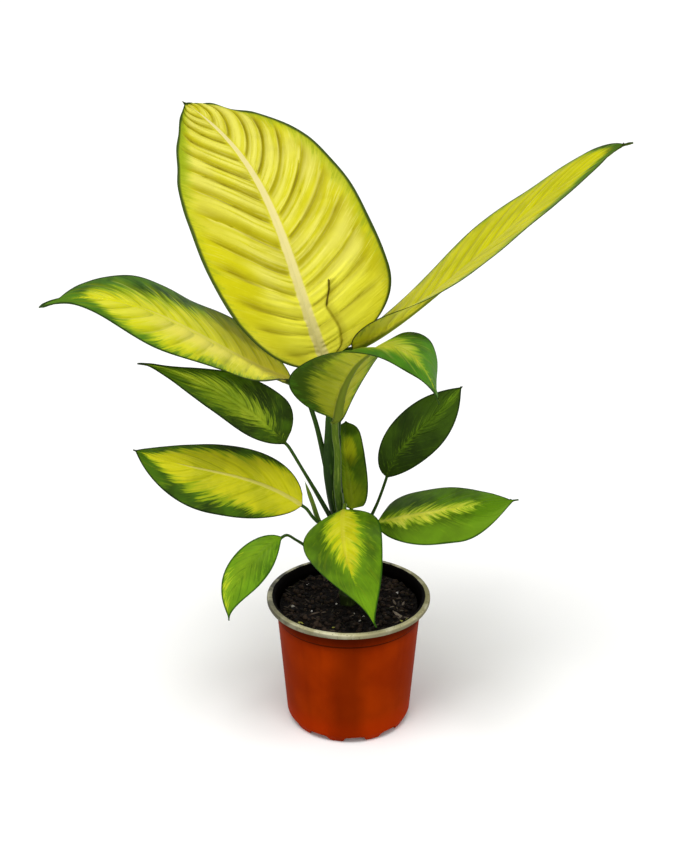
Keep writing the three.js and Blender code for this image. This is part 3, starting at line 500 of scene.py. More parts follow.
def buildBlade(leaf, seed, material):
    # the upper face is bladePoint raised by the pleats, the midrib's lift and gutter and the margin's lumps.
    # The lower one lies under it by the thickness, with the keel as 2 r sqrt(1 - (d / 1.15 r)^2) round the
    # midrib.
    rows = min(leaf["veins"] * bladeGrid["rowsPerVein"], bladeGrid["mostRows"])
    column = np.linspace(-1, 1, 2 * bladeGrid["halfColumns"] + 1)
    q, v = np.meshgrid(np.linspace(0, 1, rows + 1) ** bladeForm["courseLaw"],
                       np.sign(column) * np.abs(column) ** bladeGrid["columnLaw"], indexing="ij")
    out, u = np.abs(v), sweptCourse(leaf, q, v)
    upper = bladePoint(leaf, u, v)
    normal = unit(np.cross(np.gradient(upper, axis=1), np.gradient(upper, axis=0)))
    half, keel = halfWidth(leaf, u, v), keelRadius(leaf, u)
    lateral = half * out
    count = veinCount(leaf, q, v, seed)
    band = leaf["ribBand"] * (1 - u) ** 1.1 + 0.4
    pleat = veinRelief(leaf, q, v, count, seed)
    height, inner = leaf["relief"] * pleat, np.sin(np.pi * q) ** 0.3
    height += bladeForm["ribLift"] * np.exp(-(lateral / (0.6 * band)) ** 2) * inner
    height -= bladeForm["ribGutter"] * np.exp(-((lateral - 1.5 * band) / (0.6 * band)) ** 2) * inner
    lumps = bladeForm["crumple"] * leaf["relief"] * latticeNoise(q * 14, v * 2 + 6, seed + 5)
    height += lumps * smoothStep(out, 0.7, 1)
    shown = smoothStep(out, 0.02, 0.1) * (1 - smoothStep(out, 0.7, 0.97)) * inner
    scar = np.full_like(q, tear["farAway"])
    if leaf["name"] == tear["leaf"]:
        aside = (v - np.interp(u, tear["course"], tear["across"])) * half
        end = tear["course"][-1] + tear["overrun"]
        fade = smoothStep(end - u, 0, tear["fade"]) * (v > 0)
        height -= fade * tear["depth"] * np.exp(-(aside / tear["width"]) ** 2)
        over = smoothStep(aside, -tear["blend"], tear["blend"])
        height -= fade * over * tear["flap"] * np.exp(-np.maximum(aside, 0) / tear["flapWidth"])
        height += fade * (1 - over) * tear["lip"] * np.exp(np.minimum(aside, 0) / tear["lipWidth"])
        scar = np.where((u < end) & (v > 0), aside, tear["farAway"])
    upper = upper + normal * height[..., None]
    edge = bladeForm["marginThickness"]
    body = edge + (leaf["blade"] - edge) * (1 - out ** 3)
    bulge = np.sqrt(np.clip(1 - (lateral / (1.15 * keel)) ** 2, 0, 1))
    depth = np.maximum(body, 2 * keel * bulge + body * (1 - bulge))
    margin = half * (1 - out)
    leftReach, rightReach = (np.interp(u, *zip(*given)) for given in leaf["pale"])
    readings = {
        "vein": count,
        "pleat": pleat,
        "veinSide": np.sign(v) * (count - np.floor(count) - 0.5) * shown,
        "outward": out,
        "course": u,
        "beyondPale": np.abs(v - leaf["drift"]) - np.where(v > 0, rightReach, leftReach),
        "ribShare": lateral / band,
        "keelShare": lateral / keel,
        "marginGap": np.where(q > 0.97, np.minimum(margin, 1.2 * (1 - q) / 0.03), margin),
        "scarGap": scar,
    }
    for k, (course, across, reachAlong, reachAcross, *_) in enumerate(leaf["patches"]):
        readings[f"patch{k}"] = 1 - np.hypot((u - course) / reachAlong, (v - across) / reachAcross)
    readings["underFace"] = np.repeat([0, 1], q.size)
    piece = makeSheet("blade_" + leaf["name"][-2:], upper, upper - normal * depth[..., None], material)
    addPiece(piece, leaf["name"], readings)


def leafMaterial(leaf, seed):
    # Dieffenbachia blade, grown: a waxy skin over tissue that lets light through, so it gives a soft sheen
    # and glows from behind. Green tissue round a pale patch whose edge is feathered along the lateral veins,
    # with grooves over them darkened partly as tissue and partly as painted shade, painted light on the
    # pleats' crests, and painted shade on one side of each vein and painted light on the other.
    material, add = newMaterial("leaf_tissue_waxy_" + leaf["name"][-2:])
    keys = ["vein", "pleat", "veinSide", "outward", "course", "beyondPale", "ribShare", "keelShare",
            "marginGap", "scarGap", "underFace"] + [f"patch{k}" for k in range(len(leaf["patches"]))]
    read = {key: add("Attribute", output="Fac", attribute_name=key) for key in keys}
    # noise drawn out along the lateral veins, as the pigment is: wide streaks and narrow ones
    drawn = []
    for perVein, acrossTimes, detail in ((4.0, 2.0, 3.0), (13.0, 3.0, 4.0)):
        along = add("Math", [read["vein"], perVein], operation="MULTIPLY")
        across = add("Math", [read["outward"], acrossTimes], operation="MULTIPLY")
        place = add("CombineXYZ", [along, across, seed * 3.1 + perVein])
        drawn.append(add("TexNoise", {"Vector": place, "Scale": 1.0, "Detail": detail, "Roughness": 0.65}))
    wide = add("Math", [drawn[0], 0.55], operation="MULTIPLY")
    streak = add("Math", [drawn[1], 0.45, wide], operation="MULTIPLY_ADD")
    place = add("TexCoord", output="Object")
    # blotches of about 18 mm and grain of about 2.4 mm
    broad, fine = (add("TexNoise", {"Vector": place, "Scale": scale, "Detail": 3.0})
                   for scale in (55.0, 420.0))
    # how far past the feathered edge of the pale patch: streaks and blotches add edgeMiddle to it on average
    feather, soft = leaf["feather"], leaf["soft"]
    byStreak, byBlotch = 3.0, 0.5
    edgeMiddle = 0.5 * (byStreak + byBlotch) * feather
    loose = add("Math", [streak, byStreak * feather, read["beyondPale"]], operation="MULTIPLY_ADD")
    edge = add("Math", [broad, byBlotch * feather, loose], operation="MULTIPLY_ADD")
    patchy = add("Math", [read["course"], 0.3, broad], operation="MULTIPLY_ADD")
    pale = layered(add, leaf["bright"], [
        (leaf["second"], broad, 0.38, 0.64, 1.0),
        (leaf["lime"], streak, 0.5, 0.7, 0.3),
        # painted light on the pleats' crests
        (leaf["ridge"], read["pleat"], -0.05, 0.32, leaf["crest"]),
        (leaf["ridge"], drawn[1], 0.52, 0.64, 0.5),
    ])
    greens = layered(add, leaf["deep"], [
        (leaf["green"], patchy, 0.45, 0.85, 1.0),
        (leaf["lime"], streak, 0.53, 0.68, 0.4),
    ])
    # green flecks in the pale tissue towards the margin, and the midrib's band with a feathered edge
    fleckZone = add("Math", [fine, 9.0, read["marginGap"]], operation="MULTIPLY_ADD")
    fleck = add("Math", [fleckZone, -0.02, streak], operation="MULTIPLY_ADD")
    ribBlur, ribEnd = leaf["ribBlur"], leaf["ribEnd"]
    ribEdge = add("Math", [streak, ribBlur, read["ribShare"]], operation="MULTIPLY_ADD")
    ribFade = add("MapRange", [read["course"], ribEnd - 0.25, ribEnd, 0.0, 2.0])
    ribEdge = add("Math", [ribEdge, ribFade], operation="ADD")
    wavy = add("Math", [broad, 1.6, read["marginGap"]], operation="MULTIPLY_ADD")
    # the under face is duller, and its midrib is green as the petiole, which away keeps off the upper face
    away = 9.0
    keelEdge = add("Math", [read["underFace"], -away, read["keelShare"]], operation="MULTIPLY_ADD")
    keelEdge = add("Math", [keelEdge, away], operation="ADD")
    layers = [
        (leaf["lime"], edge, edgeMiddle - soft - 0.08, edgeMiddle + 0.4 * soft, 1.0),
        (greens, edge, edgeMiddle - 0.2 * soft, edgeMiddle + soft + 0.05, 1.0),
        (leaf["under"], read["underFace"], 0.0, 1.0, 0.45),
    ]
    # patches, among them painted light and a painted shadow
    for k, (*_, tone, share, softness) in enumerate(leaf["patches"]):
        brokenUp = add("Math", [streak, 1.4, read[f"patch{k}"]], operation="MULTIPLY_ADD")
        layers.append((tone, brokenUp, 0.7, 0.7 + 2 * softness, share))
    layers += [
        (leaf["green"], fleck, 0.3, 0.42, leaf["flecks"]),
        # painted shade on one side of each vein and painted light on the other
        (leaf["groove"], read["veinSide"], 0.0, 0.5, leaf["sideShade"]),
        (leaf["ridge"], read["veinSide"], -0.3, -0.5, 1.3 * leaf["sideShade"]),
        # the grooves darkened, partly as tissue and partly as painted shade
        (leaf["groove"], read["pleat"], -0.08, -0.55, leaf["grooveShade"]),
        (leaf["cream"], ribEdge, 1.15 + 0.5 * ribBlur, 0.75 + 0.5 * ribBlur, leaf["ribShow"]),
        (leaf["edge"], wavy, 2.5 * leaf["edgeWidth"], 1.3 * leaf["edgeWidth"], 0.95),
    ]
    if leaf["name"] == tear["leaf"]:
        offLine = add("Math", [read["scarGap"]], operation="ABSOLUTE")
        beside = add("Math", [offLine, -2.0, read["scarGap"]], operation="MULTIPLY_ADD")
        # the dark line itself only shows on the upper part
        healed = add("MapRange", [read["course"], 0.14, 0.165, 2.0, 0.0])
        layers += [
            # painted shade: the groove's tone in a band beside the tear, wider on the flap's side where it
            # sinks, and along its groove
            (leaf["groove"], beside, -7.0, 0.0, 0.4),
            (leaf["groove"], offLine, 1.4, 0.2, 0.6),
            (tear["colour"], add("Math", [offLine, healed], operation="ADD"), 0.9, 0.3, 0.9),
        ]
    layers.append((bladeForm["keelColour"], keelEdge, 1.2, 0.8, 0.85))
    colour = layered(add, pale, layers)
    # nine fine ribs to each vein's spacing, and the grain
    turns = add("Math", [read["vein"], 2 * math.pi * 9], operation="MULTIPLY")
    ripple = add("Math", [turns], operation="COSINE")
    relief = add("Math", [ripple, 0.12, fine], operation="MULTIPLY_ADD")
    bump = add("Bump", {"Height": relief, "Strength": 0.3, "Distance": 0.1 * mm})
    dull = add("Math", [read["underFace"], 0.14, 0.36], operation="MULTIPLY_ADD")
    gloss = add("Math", [fine, 0.18, dull], operation="MULTIPLY_ADD")
    skin = add("BsdfPrincipled", {"Base Color": colour, "Roughness": gloss, "Normal": bump, "IOR": 1.42,
                                  "Specular IOR Level": leaf["sheen"]})
    through = add("BsdfTranslucent", {"Color": colour, "Normal": bump})
    return finishMaterial(material, add("MixShader", [0.25, skin, through]))


for number, leaf in enumerate(leaves):
    seed = bladeGrid["firstSeed"] + bladeGrid["seedStep"] * number
    buildBlade(leaf, seed, leafMaterial(leaf, number + 1))
print("blades built:", len(leaves))


# Sizes of the cane, the petioles and the closed young leaf in mm. darkSkin, freshSkin and caneSkin: colours
# of the skin low down, higher up, and of its marbling, and the marbling's share. sheaths: how far up the
# course each winged petiole base reaches, how many degrees it wraps to each side, and how far its edges
# flare.
stem = dict(
    canePath=[(0, 0, 62.4), (0, 0, 96), (0, 0, 112), (-3, 0, 138), (-6, 0, 166)],
    caneRadius=(6.6, 4.6),
    caneNodes=(101, 112, 124, 137, 151),
    nodeSwell=0.5, swellReach=2.2,
    scarHeight=0.35, scarReach=0.45,
    caneSides=40, extraSteps=40,
    soilTop=92,
    fitGap=0.35,          # between a petiole's end and its blade
    intoKeel=1.5,         # how far the end runs on inside the blade's keel
    sides=28, steps=90,
    channelDepth=0.28,    # of a petiole's upper side, as a share of its radius
    channelReach=0.6,     # radians
    sheathProud=0.35, sheathThickness=0.35,
    youngPath=[(-4, -2, 140), (-19, -11, 160), (-26, -16, 183), (-31, -18, 200)],
    youngRadius=(2.3, 1.4),
    youngSides=20, youngSteps=60,
    seamDepth=0.25, seamReach=0.3,
    darkSkin=("#16280a", "#274308", "#42621a", 0.5),
    freshSkin=("#2c4610", "#4f6614", "#788a34", 0.6),
    caneSkin=("#16140a", "#2c4212", "#4a5a24", 0.6),
    freshNames=("leaf_03", "leaf_08", "leaf_09"),
    sheaths={"leaf_01": (0.72, 125, 1.6), "leaf_02": (0.5, 110, 0.8), "leaf_03": (0.4, 110, 0.7),
             "leaf_04": (0.45, 110, 0.7)},
)


def smoothPath(points, count, fine=60):
    # centripetal Catmull-Rom curve through the points, its ends carried on straight, by arc length
    p = np.array(points, float)
    p = np.concatenate([[2 * p[0] - p[1]], p, [2 * p[-1] - p[-2]]])
    parts = []
    for a, b, c, d in zip(p[:-3], p[1:-2], p[2:-1], p[3:]):
        t1, t2, t3 = np.cumsum([max(np.linalg.norm(y - x), 1e-6) ** 0.5 for x, y in ((a, b), (b, c), (c, d))])
        t = np.linspace(t1, t2, fine)[:, None]
        ab = (t1 - t) / t1 * a + t / t1 * b
        bc = (t2 - t) / (t2 - t1) * b + (t - t1) / (t2 - t1) * c
        cd = (t3 - t) / (t3 - t2) * c + (t - t2) / (t3 - t2) * d
        abc = (t2 - t) / t2 * ab + t / t2 * bc
        bcd = (t3 - t) / (t3 - t1) * bc + (t - t1) / (t3 - t1) * cd
        parts.append(((t2 - t) / (t2 - t1) * abc + (t - t1) / (t2 - t1) * bcd)[:-1])
    line = np.concatenate(parts + [p[-2:-1]])
    run = runAlong(line)
    return readCurve(np.linspace(0, run[-1], count), run, line)


def buildStalk(name, path, sideways, radius, material):
    # rings round a path: path + radius (cos a * front + sin a * side). side stays square to the plane that
    # the path bends in, and front looks to the stem's axis, so a = 0 is a petiole's upper side
    along = unit(np.gradient(path, axis=0))
    side = unit(sideways - (along @ sideways)[:, None] * along)
    front = np.cross(side, along)
    columns = radius.shape[1]
    turn = fullTurn(columns)
    ring = np.cos(turn)[None, :, None] * front[:, None] + np.sin(turn)[None, :, None] * side[:, None]
    rings = path[:, None] + radius[..., None] * ring
    points = np.concatenate([rings.reshape(-1, 3), path[:1], path[-1:]]) * mm
    run = runAlong(path)
    readings = {
        "alongMm": np.append(np.repeat(run, columns), [run[0], run[-1]]),
        "roundCos": np.append(np.tile(np.cos(turn), len(path)), [0, 0]),
        "roundSin": np.append(np.tile(np.sin(turn), len(path)), [0, 0]),
        "heightShare": np.append(np.repeat(run / run[-1], columns), [0, 1]),
    }
    piece = makeObject(name, points, ringFaces(len(path), columns), [material])
    addPiece(piece, "stem", readings)


def stalkMaterial(name, low, high, light, mottle):
    # Petiole skin, grown: smooth and waxy, so it gives a long soft highlight, and marbled with paler green
    material, add = newMaterial(name)
    keys = ("alongMm", "roundCos", "roundSin", "heightShare")
    read = {key: add("Attribute", output="Fac", attribute_name=key) for key in keys}
    noises = []
    for roundTimes, perMm, detail in ((2.2, 0.13, 5.0), (7.0, 0.05, 3.0)):
        axes = [add("Math", [read[key], times], operation="MULTIPLY")
                for key, times in (("roundCos", roundTimes), ("roundSin", roundTimes), ("alongMm", perMm))]
        place = add("CombineXYZ", axes)
        noises.append(add("TexNoise", {"Vector": place, "Scale": 1.0, "Detail": detail, "Roughness": 0.6}))
    marble, fibre = noises
    colour = layered(add, low, [
        (high, read["heightShare"], 0.0, 0.9, 1.0),
        (light, marble, 0.5, 0.68, mottle),
        (low, fibre, 0.45, 0.7, 0.3),
    ])
    bump = add("Bump", {"Height": fibre, "Strength": 0.4, "Distance": 0.15 * mm})
    gloss = add("Math", [marble, 0.2, 0.3], operation="MULTIPLY_ADD")
    return finishMaterial(material, add("BsdfPrincipled", {
        "Base Color": colour, "Roughness": gloss, "Normal": bump, "IOR": 1.42, "Specular IOR Level": 0.12,
        "Subsurface Weight": 0.08, "Subsurface Radius": (0.6, 1.0, 0.3), "Subsurface Scale": 1.5 * mm,
    }))


def buildCane(material):
    # radius in mm: the foot's to the crown's, with a swelling and a sharp leaf scar at each node, both as
    # exp(-(d / reach)^2) of the distance d to it, rounded over at the crown
    path = smoothPath(stem["canePath"], stem["steps"] + stem["extraSteps"])
    z = path[:, 2]
    foot, crown = stem["caneRadius"]
    radius = foot + (crown - foot) * smoothStep(z, stem["soilTop"] + 6, z[-1])
    for height in stem["caneNodes"]:
        for rise, reach in ((stem["nodeSwell"], stem["swellReach"]), (stem["scarHeight"], stem["scarReach"])):
            radius = radius + rise * np.exp(-((z - height) / reach) ** 2)
    t = np.linspace(0, 1, len(path))
    radius = radius * np.sqrt(np.maximum(0.15, 1 - smoothStep(t, 0.94, 1)))
    around = np.cos(fullTurn(stem["caneSides"]))[None]
    uneven = 1 + 0.02 * latticeNoise(z[:, None] * 0.12, around * 2 + 4, 5)
    buildStalk("cane", path, np.array([0, 1.0, 0]), radius[:, None] * uneven, material)


def stalkPath(leaf, count):
    # from the cane to the blade's base, arriving in line with the midrib and ending inside its keel
    place, along, up, _ = midrib(leaf, np.array([0.0]))
    thin = leaf["stalkRadius"][1]
    end = place[0] - stem["fitGap"] * along[0] - thin * up[0]
    approach = end - 4 * thin * along[0]
    line = smoothPath([*leaf["stalk"], approach, end], count)
    return np.concatenate([line, end[None] + along[0] * stem["intoKeel"]])


def bendPlane(path):
    # the level direction square to the plane that a petiole bends in
    over = path[-1] - path[0]
    return unit(np.cross(np.array([0, 0, 1.0]), np.array([over[0], over[1], 0])))


def stalkWidth(leaf, t):
    # a petiole's radius in mm: wide to slim over the middle of its course
    wide, slim = leaf["stalkRadius"]
    return slim + (wide - slim) * (1 - smoothStep(t, 0.35, 0.75))


def buildPetiole(leaf, material):
    # with a channel, 1 - depth exp(-(a / reach)^2), on the upper side that deepens towards the blade
    path = stalkPath(leaf, stem["steps"])
    t, turn = np.linspace(0, 1, len(path)), fullTurn(stem["sides"])
    hollow = stem["channelDepth"] * np.exp(-(np.minimum(turn, 2 * np.pi - turn) / stem["channelReach"]) ** 2)
    channel = 1 - hollow[None] * smoothStep(t, 0.2, 0.5)[:, None]
    radius = stalkWidth(leaf, t)[:, None] * channel
    buildStalk("petiole_" + leaf["name"][-2:], path, bendPlane(path), radius, material)


def buildSheath(leaf, top, spread, flare, material):
    # the petiole's winged base: a thin sheet round its back from -spread to spread, a little proud of it,
    # whose two edges flare off and end in rounded ears at the share top of the course
    path = stalkPath(leaf, stem["steps"])
    sideways = bendPlane(path)
    s, w = np.meshgrid(np.linspace(0.02, 1, 60), np.linspace(-1, 1, 25), indexing="ij")
    course = s * top * (1 - 0.12 * (1 - np.abs(w)) ** 0.8)
    t = np.linspace(0, 1, len(path))
    centre, along = readCurve(course, t, path), unit(readCurve(course, t, np.gradient(path, axis=0)))
    side = unit(sideways - (along @ sideways)[..., None] * along)
    front = np.cross(side, along)
    wings = flare * np.abs(w) ** 3 * smoothStep(s, 0.1, 0.8) * (1 - 0.6 * smoothStep(s, 0.9, 1))
    turn = np.pi + w * math.radians(spread)
    outward = np.cos(turn)[..., None] * front + np.sin(turn)[..., None] * side
    lower = centre + outward * (stalkWidth(leaf, course) + (stem["sheathProud"] + wings))[..., None]
    upper = lower + stem["sheathThickness"] * outward
    piece = makeSheet("sheath_" + leaf["name"][-2:], upper, lower, material)
    addPiece(piece, "stem", {"alongMm": course * runAlong(path)[-1], "roundCos": np.cos(turn),
                                     "roundSin": np.sin(turn), "heightShare": course})


def buildYoungLeaf(material):
    # a closed young leaf: a slim spindle with one seam, 1 - depth exp(-(a / reach)^2), that ends in a point
    path = smoothPath(stem["youngPath"], stem["youngSteps"])
    t = np.linspace(0, 1, len(path))
    low, high = stem["youngRadius"]
    radius = (low + (high - low) * t) * np.sqrt(np.maximum(0.02, 1 - smoothStep(t, 0.8, 1)))
    turn = fullTurn(stem["youngSides"])
    seam = 1 - stem["seamDepth"] * np.exp(-(np.minimum(turn, 2 * np.pi - turn) / stem["seamReach"]) ** 2)
    buildStalk("young_leaf", path, bendPlane(path), radius[:, None] * seam[None], material)


darkSkin = stalkMaterial("petiole_skin_dark_waxy", *stem["darkSkin"])
freshSkin = stalkMaterial("petiole_skin_fresh_waxy", *stem["freshSkin"])
buildCane(stalkMaterial("cane_skin_ringed", *stem["caneSkin"]))
for leaf in leaves:
    skin = freshSkin if leaf["name"] in stem["freshNames"] else darkSkin
    buildPetiole(leaf, skin)
    if leaf["name"] in stem["sheaths"]:
        buildSheath(leaf, *stem["sheaths"][leaf["name"]], skin)
buildYoungLeaf(freshSkin)
print("stems built")


# Sizes of the pot in mm, as the solid has them, and the channels' turn in degrees. outOfRound: how far the
# upper wall, from roundBelow up, leaves the round by sin(2a) and sin(5a). longestStep, sharpOver: the longest
# row of the mesh, and the degrees over which an edge is sharp.
pot = dict(
    height=100, rimRadius=60, rimInnerRadius=55, rimDrop=4, rimCurl=1.6,
    collarRadius=53.9, collarFoot=86.5, collarStep=0.9,
    bodyTopRadius=52.6, bodyFootRadius=46, bodyFoot=6.5, undersideRadius=42.8,
    wall=1.3, floorTop=6.5, floorRound=2.5,
    notches=10, notchTopWidth=13, notchFootWidth=18, notchHeight=4.8, notchCorner=0.8, notchTurn=-84,
    hubRadius=24, drainRadius=3, drainPlace=36, drainSides=24,
    outOfRound=(0.25, 0.12), roundBelow=60,
    columns=240, longestStep=6, sharpOver=40,
)


def roundedProfile(corners, steps=5):
    # a line of (radius, height, cut) corners, each cut back by its cut and rounded by a quadratic curve
    p = np.array([c[:2] for c in corners], float)
    line = [p[0]]
    for k in range(1, len(p) - 1):
        cut = corners[k][2]
        if cut == 0:
            line.append(p[k])
            continue
        a, b = p[k] + unit(p[k - 1] - p[k]) * cut, p[k] + unit(p[k + 1] - p[k]) * cut
        for t in np.linspace(0, 1, steps):
            line.append((1 - t) ** 2 * a + 2 * (1 - t) * t * p[k] + t * t * b)
    line.append(p[-1])
    return np.array(line)


def splitRows(line, longest):
    # extra points on straight stretches, so that no step is longer than longest mm
    parts = [line[:1]]
    for a, b in zip(line[:-1], line[1:]):
        n = max(1, int(np.ceil(np.linalg.norm(b - a) / longest)))
        parts.append(a + (b - a) * (np.arange(1, n + 1) / n)[:, None])
    return np.concatenate(parts)


def latheRings(line, columns):
    # the profile (r, z) turned about Z: (r cos a, r sin a, z)
    turn, r, z = fullTurn(columns), line[:, :1], line[:, 1:]
    return np.stack([r * np.cos(turn), r * np.sin(turn), z + 0 * turn], -1)


def potMaterial():
    # Polypropylene, thermoformed in a two-layer sheet, terracotta outside: a satin skin with faint drawn
    # lines, a darker band of painted shade up its middle at front and back, redder and brighter towards the
    # foot, a painted shadow under the rim, and painted shade along the crease at the collar's step
    material, add = newMaterial("polypropylene_terracotta_thermoformed")
    place = add("TexCoord", output="Object")
    height = add("SeparateXYZ", [place], 2)
    drawn = add("Mapping", {"Vector": place, "Scale": (90, 90, 9)})
    streaks = add("TexNoise", {"Vector": drawn, "Scale": 1.0, "Detail": 4.0})
    cloud, grain = (add("TexNoise", {"Vector": place, "Scale": scale, "Detail": detail})
                    for scale, detail in ((28.0, 4.0), (900.0, 2.0)))
    cloudyHeight = add("Math", [cloud, -8 * mm, height], operation="MULTIPLY_ADD")
    creaseHeight = (pot["collarFoot"] - pot["collarStep"]) * mm
    offCrease = add("Math", [height, creaseHeight], operation="SUBTRACT")
    crease = add("Math", [offCrease], operation="ABSOLUTE")
    sideways = add("Math", [add("SeparateXYZ", [place], 0)], operation="ABSOLUTE")
    wavySide = add("Math", [cloud, 16 * mm, sideways], operation="MULTIPLY_ADD")
    colour = layered(add, "#7c2200", [
        ("#8a2a00", cloud, 0.35, 0.7, 1.0),
        ("#681900", streaks, 0.45, 0.75, 0.35),
        # redder and brighter towards the foot
        ("#9c2800", height, 26 * mm, 8 * mm, 0.6),
        # painted shade: a darker band up the middle at front and back
        ("#4e1200", wavySide, 28 * mm, 12 * mm, 0.45),
        # painted shadow under the rim
        ("#380b00", cloudyHeight, 74 * mm, 89 * mm, 0.85),
        # painted shade along the crease at the collar's step
        ("#240600", crease, 1.3 * mm, 0.3 * mm, 0.75),
    ])
    gloss = add("Math", [cloud, 0.16, 0.34], operation="MULTIPLY_ADD")
    relief = add("Math", [streaks, 1.5, grain], operation="MULTIPLY_ADD")
    bump = add("Bump", {"Height": relief, "Strength": 0.25, "Distance": 0.12 * mm})
    return finishMaterial(material, add("BsdfPrincipled", {
        "Base Color": colour, "Roughness": gloss, "Normal": bump, "IOR": 1.49, "Specular IOR Level": 0.005,
        "Subsurface Weight": 0.05, "Subsurface Radius": (1.0, 0.3, 0.1), "Subsurface Scale": 1.0 * mm,
    }))


def rimMaterial():
    # Polypropylene, thermoformed, the beige inner layer that shows on the rolled rim: matt, with pale cloudy
    # patches, partly dust and partly painted highlight, specked with peat, and black inside its inner edge.
    # It is beige with painted light on the front and right and grey with painted shade elsewhere, and it has
    # painted shade on its outer side and lower edge
    material, add = newMaterial("polypropylene_beige_thermoformed")
    place = add("TexCoord", output="Object")
    cloud, speck, sideNoise = (add("TexNoise", {"Vector": place, "Scale": scale, "Detail": detail})
                          for scale, detail in ((60.0, 5.0), (700.0, 2.0), (9.0, 2.0)))
    level = add("VectorMath", [place, (1, 1, 0)], operation="MULTIPLY")
    radius = add("VectorMath", [level], "Value", operation="LENGTH")
    rough = add("Math", [cloud, 1.6 * mm, radius], operation="MULTIPLY_ADD")
    # towards the front and right, the side painted as lit
    towardsLight = add("VectorMath", [place, (5, -8, 0)], "Value", operation="DOT_PRODUCT")
    litSide = add("Math", [towardsLight, sideNoise], operation="ADD")
    height = add("SeparateXYZ", [place], 2)
    colour = layered(add, "#6c6b64", [
        # painted light: beige on the front and right, over a grey of painted shade
        ("#a9a37c", litSide, 0.1, 0.8, 1.0),
        # pale cloudy patches, partly dust and partly painted highlight
        ("#d6d1b2", cloud, 0.46, 0.62, 0.7),
        ("#453c28", speck, 0.6, 0.7, 0.6),
        # painted shade on the outer side and the lower edge
        ("#3a3830", radius, 59.2 * mm, 60.0 * mm, 0.7),
        ("#1c1810", height, 97.2 * mm, 96.2 * mm, 0.8),
        ("#040201", rough, 57.5 * mm, 56.9 * mm, 1.0),
    ])
    bump = add("Bump", {"Height": speck, "Strength": 0.3, "Distance": 0.1 * mm})
    gloss = add("Math", [cloud, 0.2, 0.42], operation="MULTIPLY_ADD")
    return finishMaterial(material, add("BsdfPrincipled", {
        "Base Color": colour, "Roughness": gloss, "Normal": bump, "IOR": 1.49, "Specular IOR Level": 0.02}))


def cutAway(piece, cutters):
    # takes the cutters' solids out of the piece, and removes them
    for cutter in cutters:
        tool = piece.modifiers.new("cut", "BOOLEAN")
        tool.operation, tool.solver, tool.object = "DIFFERENCE", "EXACT", cutter
    bpy.context.view_layer.update()
    cut = bpy.data.meshes.new_from_object(piece.evaluated_get(bpy.context.evaluated_depsgraph_get()))
    piece.modifiers.clear()
    piece.data = cut
    for cutter in cutters:
        bpy.data.objects.remove(cutter)


def channelCutter(name, turn, material):
    # a bar with a tapered section and rounded upper corners, from the hub out past the foot
    deep, half, edge = pot["notchHeight"], pot["notchTopWidth"] / 2, pot["notchCorner"]
    slope = (pot["notchFootWidth"] - pot["notchTopWidth"]) / 2 / deep
    wide = half + slope * (deep + 1)
    section = np.array([(-wide, -1), (wide, -1), (half + slope * edge, deep - edge), (half - edge, deep),
                        (edge - half, deep), (-half - slope * edge, deep - edge)])
    ends = [np.column_stack([np.full(6, x), section]) for x in (pot["hubRadius"], pot["rimRadius"])]
    spin = np.array([[math.cos(turn), math.sin(turn), 0], [-math.sin(turn), math.cos(turn), 0], [0, 0, 1]])
    faces = [[i, (i + 1) % 6, 6 + (i + 1) % 6, 6 + i] for i in range(6)]
    faces += [list(range(6))[::-1], list(range(6, 12))]
    return makeObject(name, np.concatenate(ends) @ spin * mm, faces, [material])


def drainCutter(name, turn, material):
    # a round bar through the floor over a channel
    sides, low, high = pot["drainSides"], pot["notchHeight"] - 1, pot["floorTop"] + 1
    rings = latheRings(np.array([(pot["drainRadius"], low), (pot["drainRadius"], high)]), sides)
    rings = rings + pot["drainPlace"] * np.array([math.cos(turn), math.sin(turn), 0])
    points = np.concatenate([rings.reshape(-1, 3), rings.mean(axis=1)])
    return makeObject(name, points * mm, ringFaces(2, sides), [material])


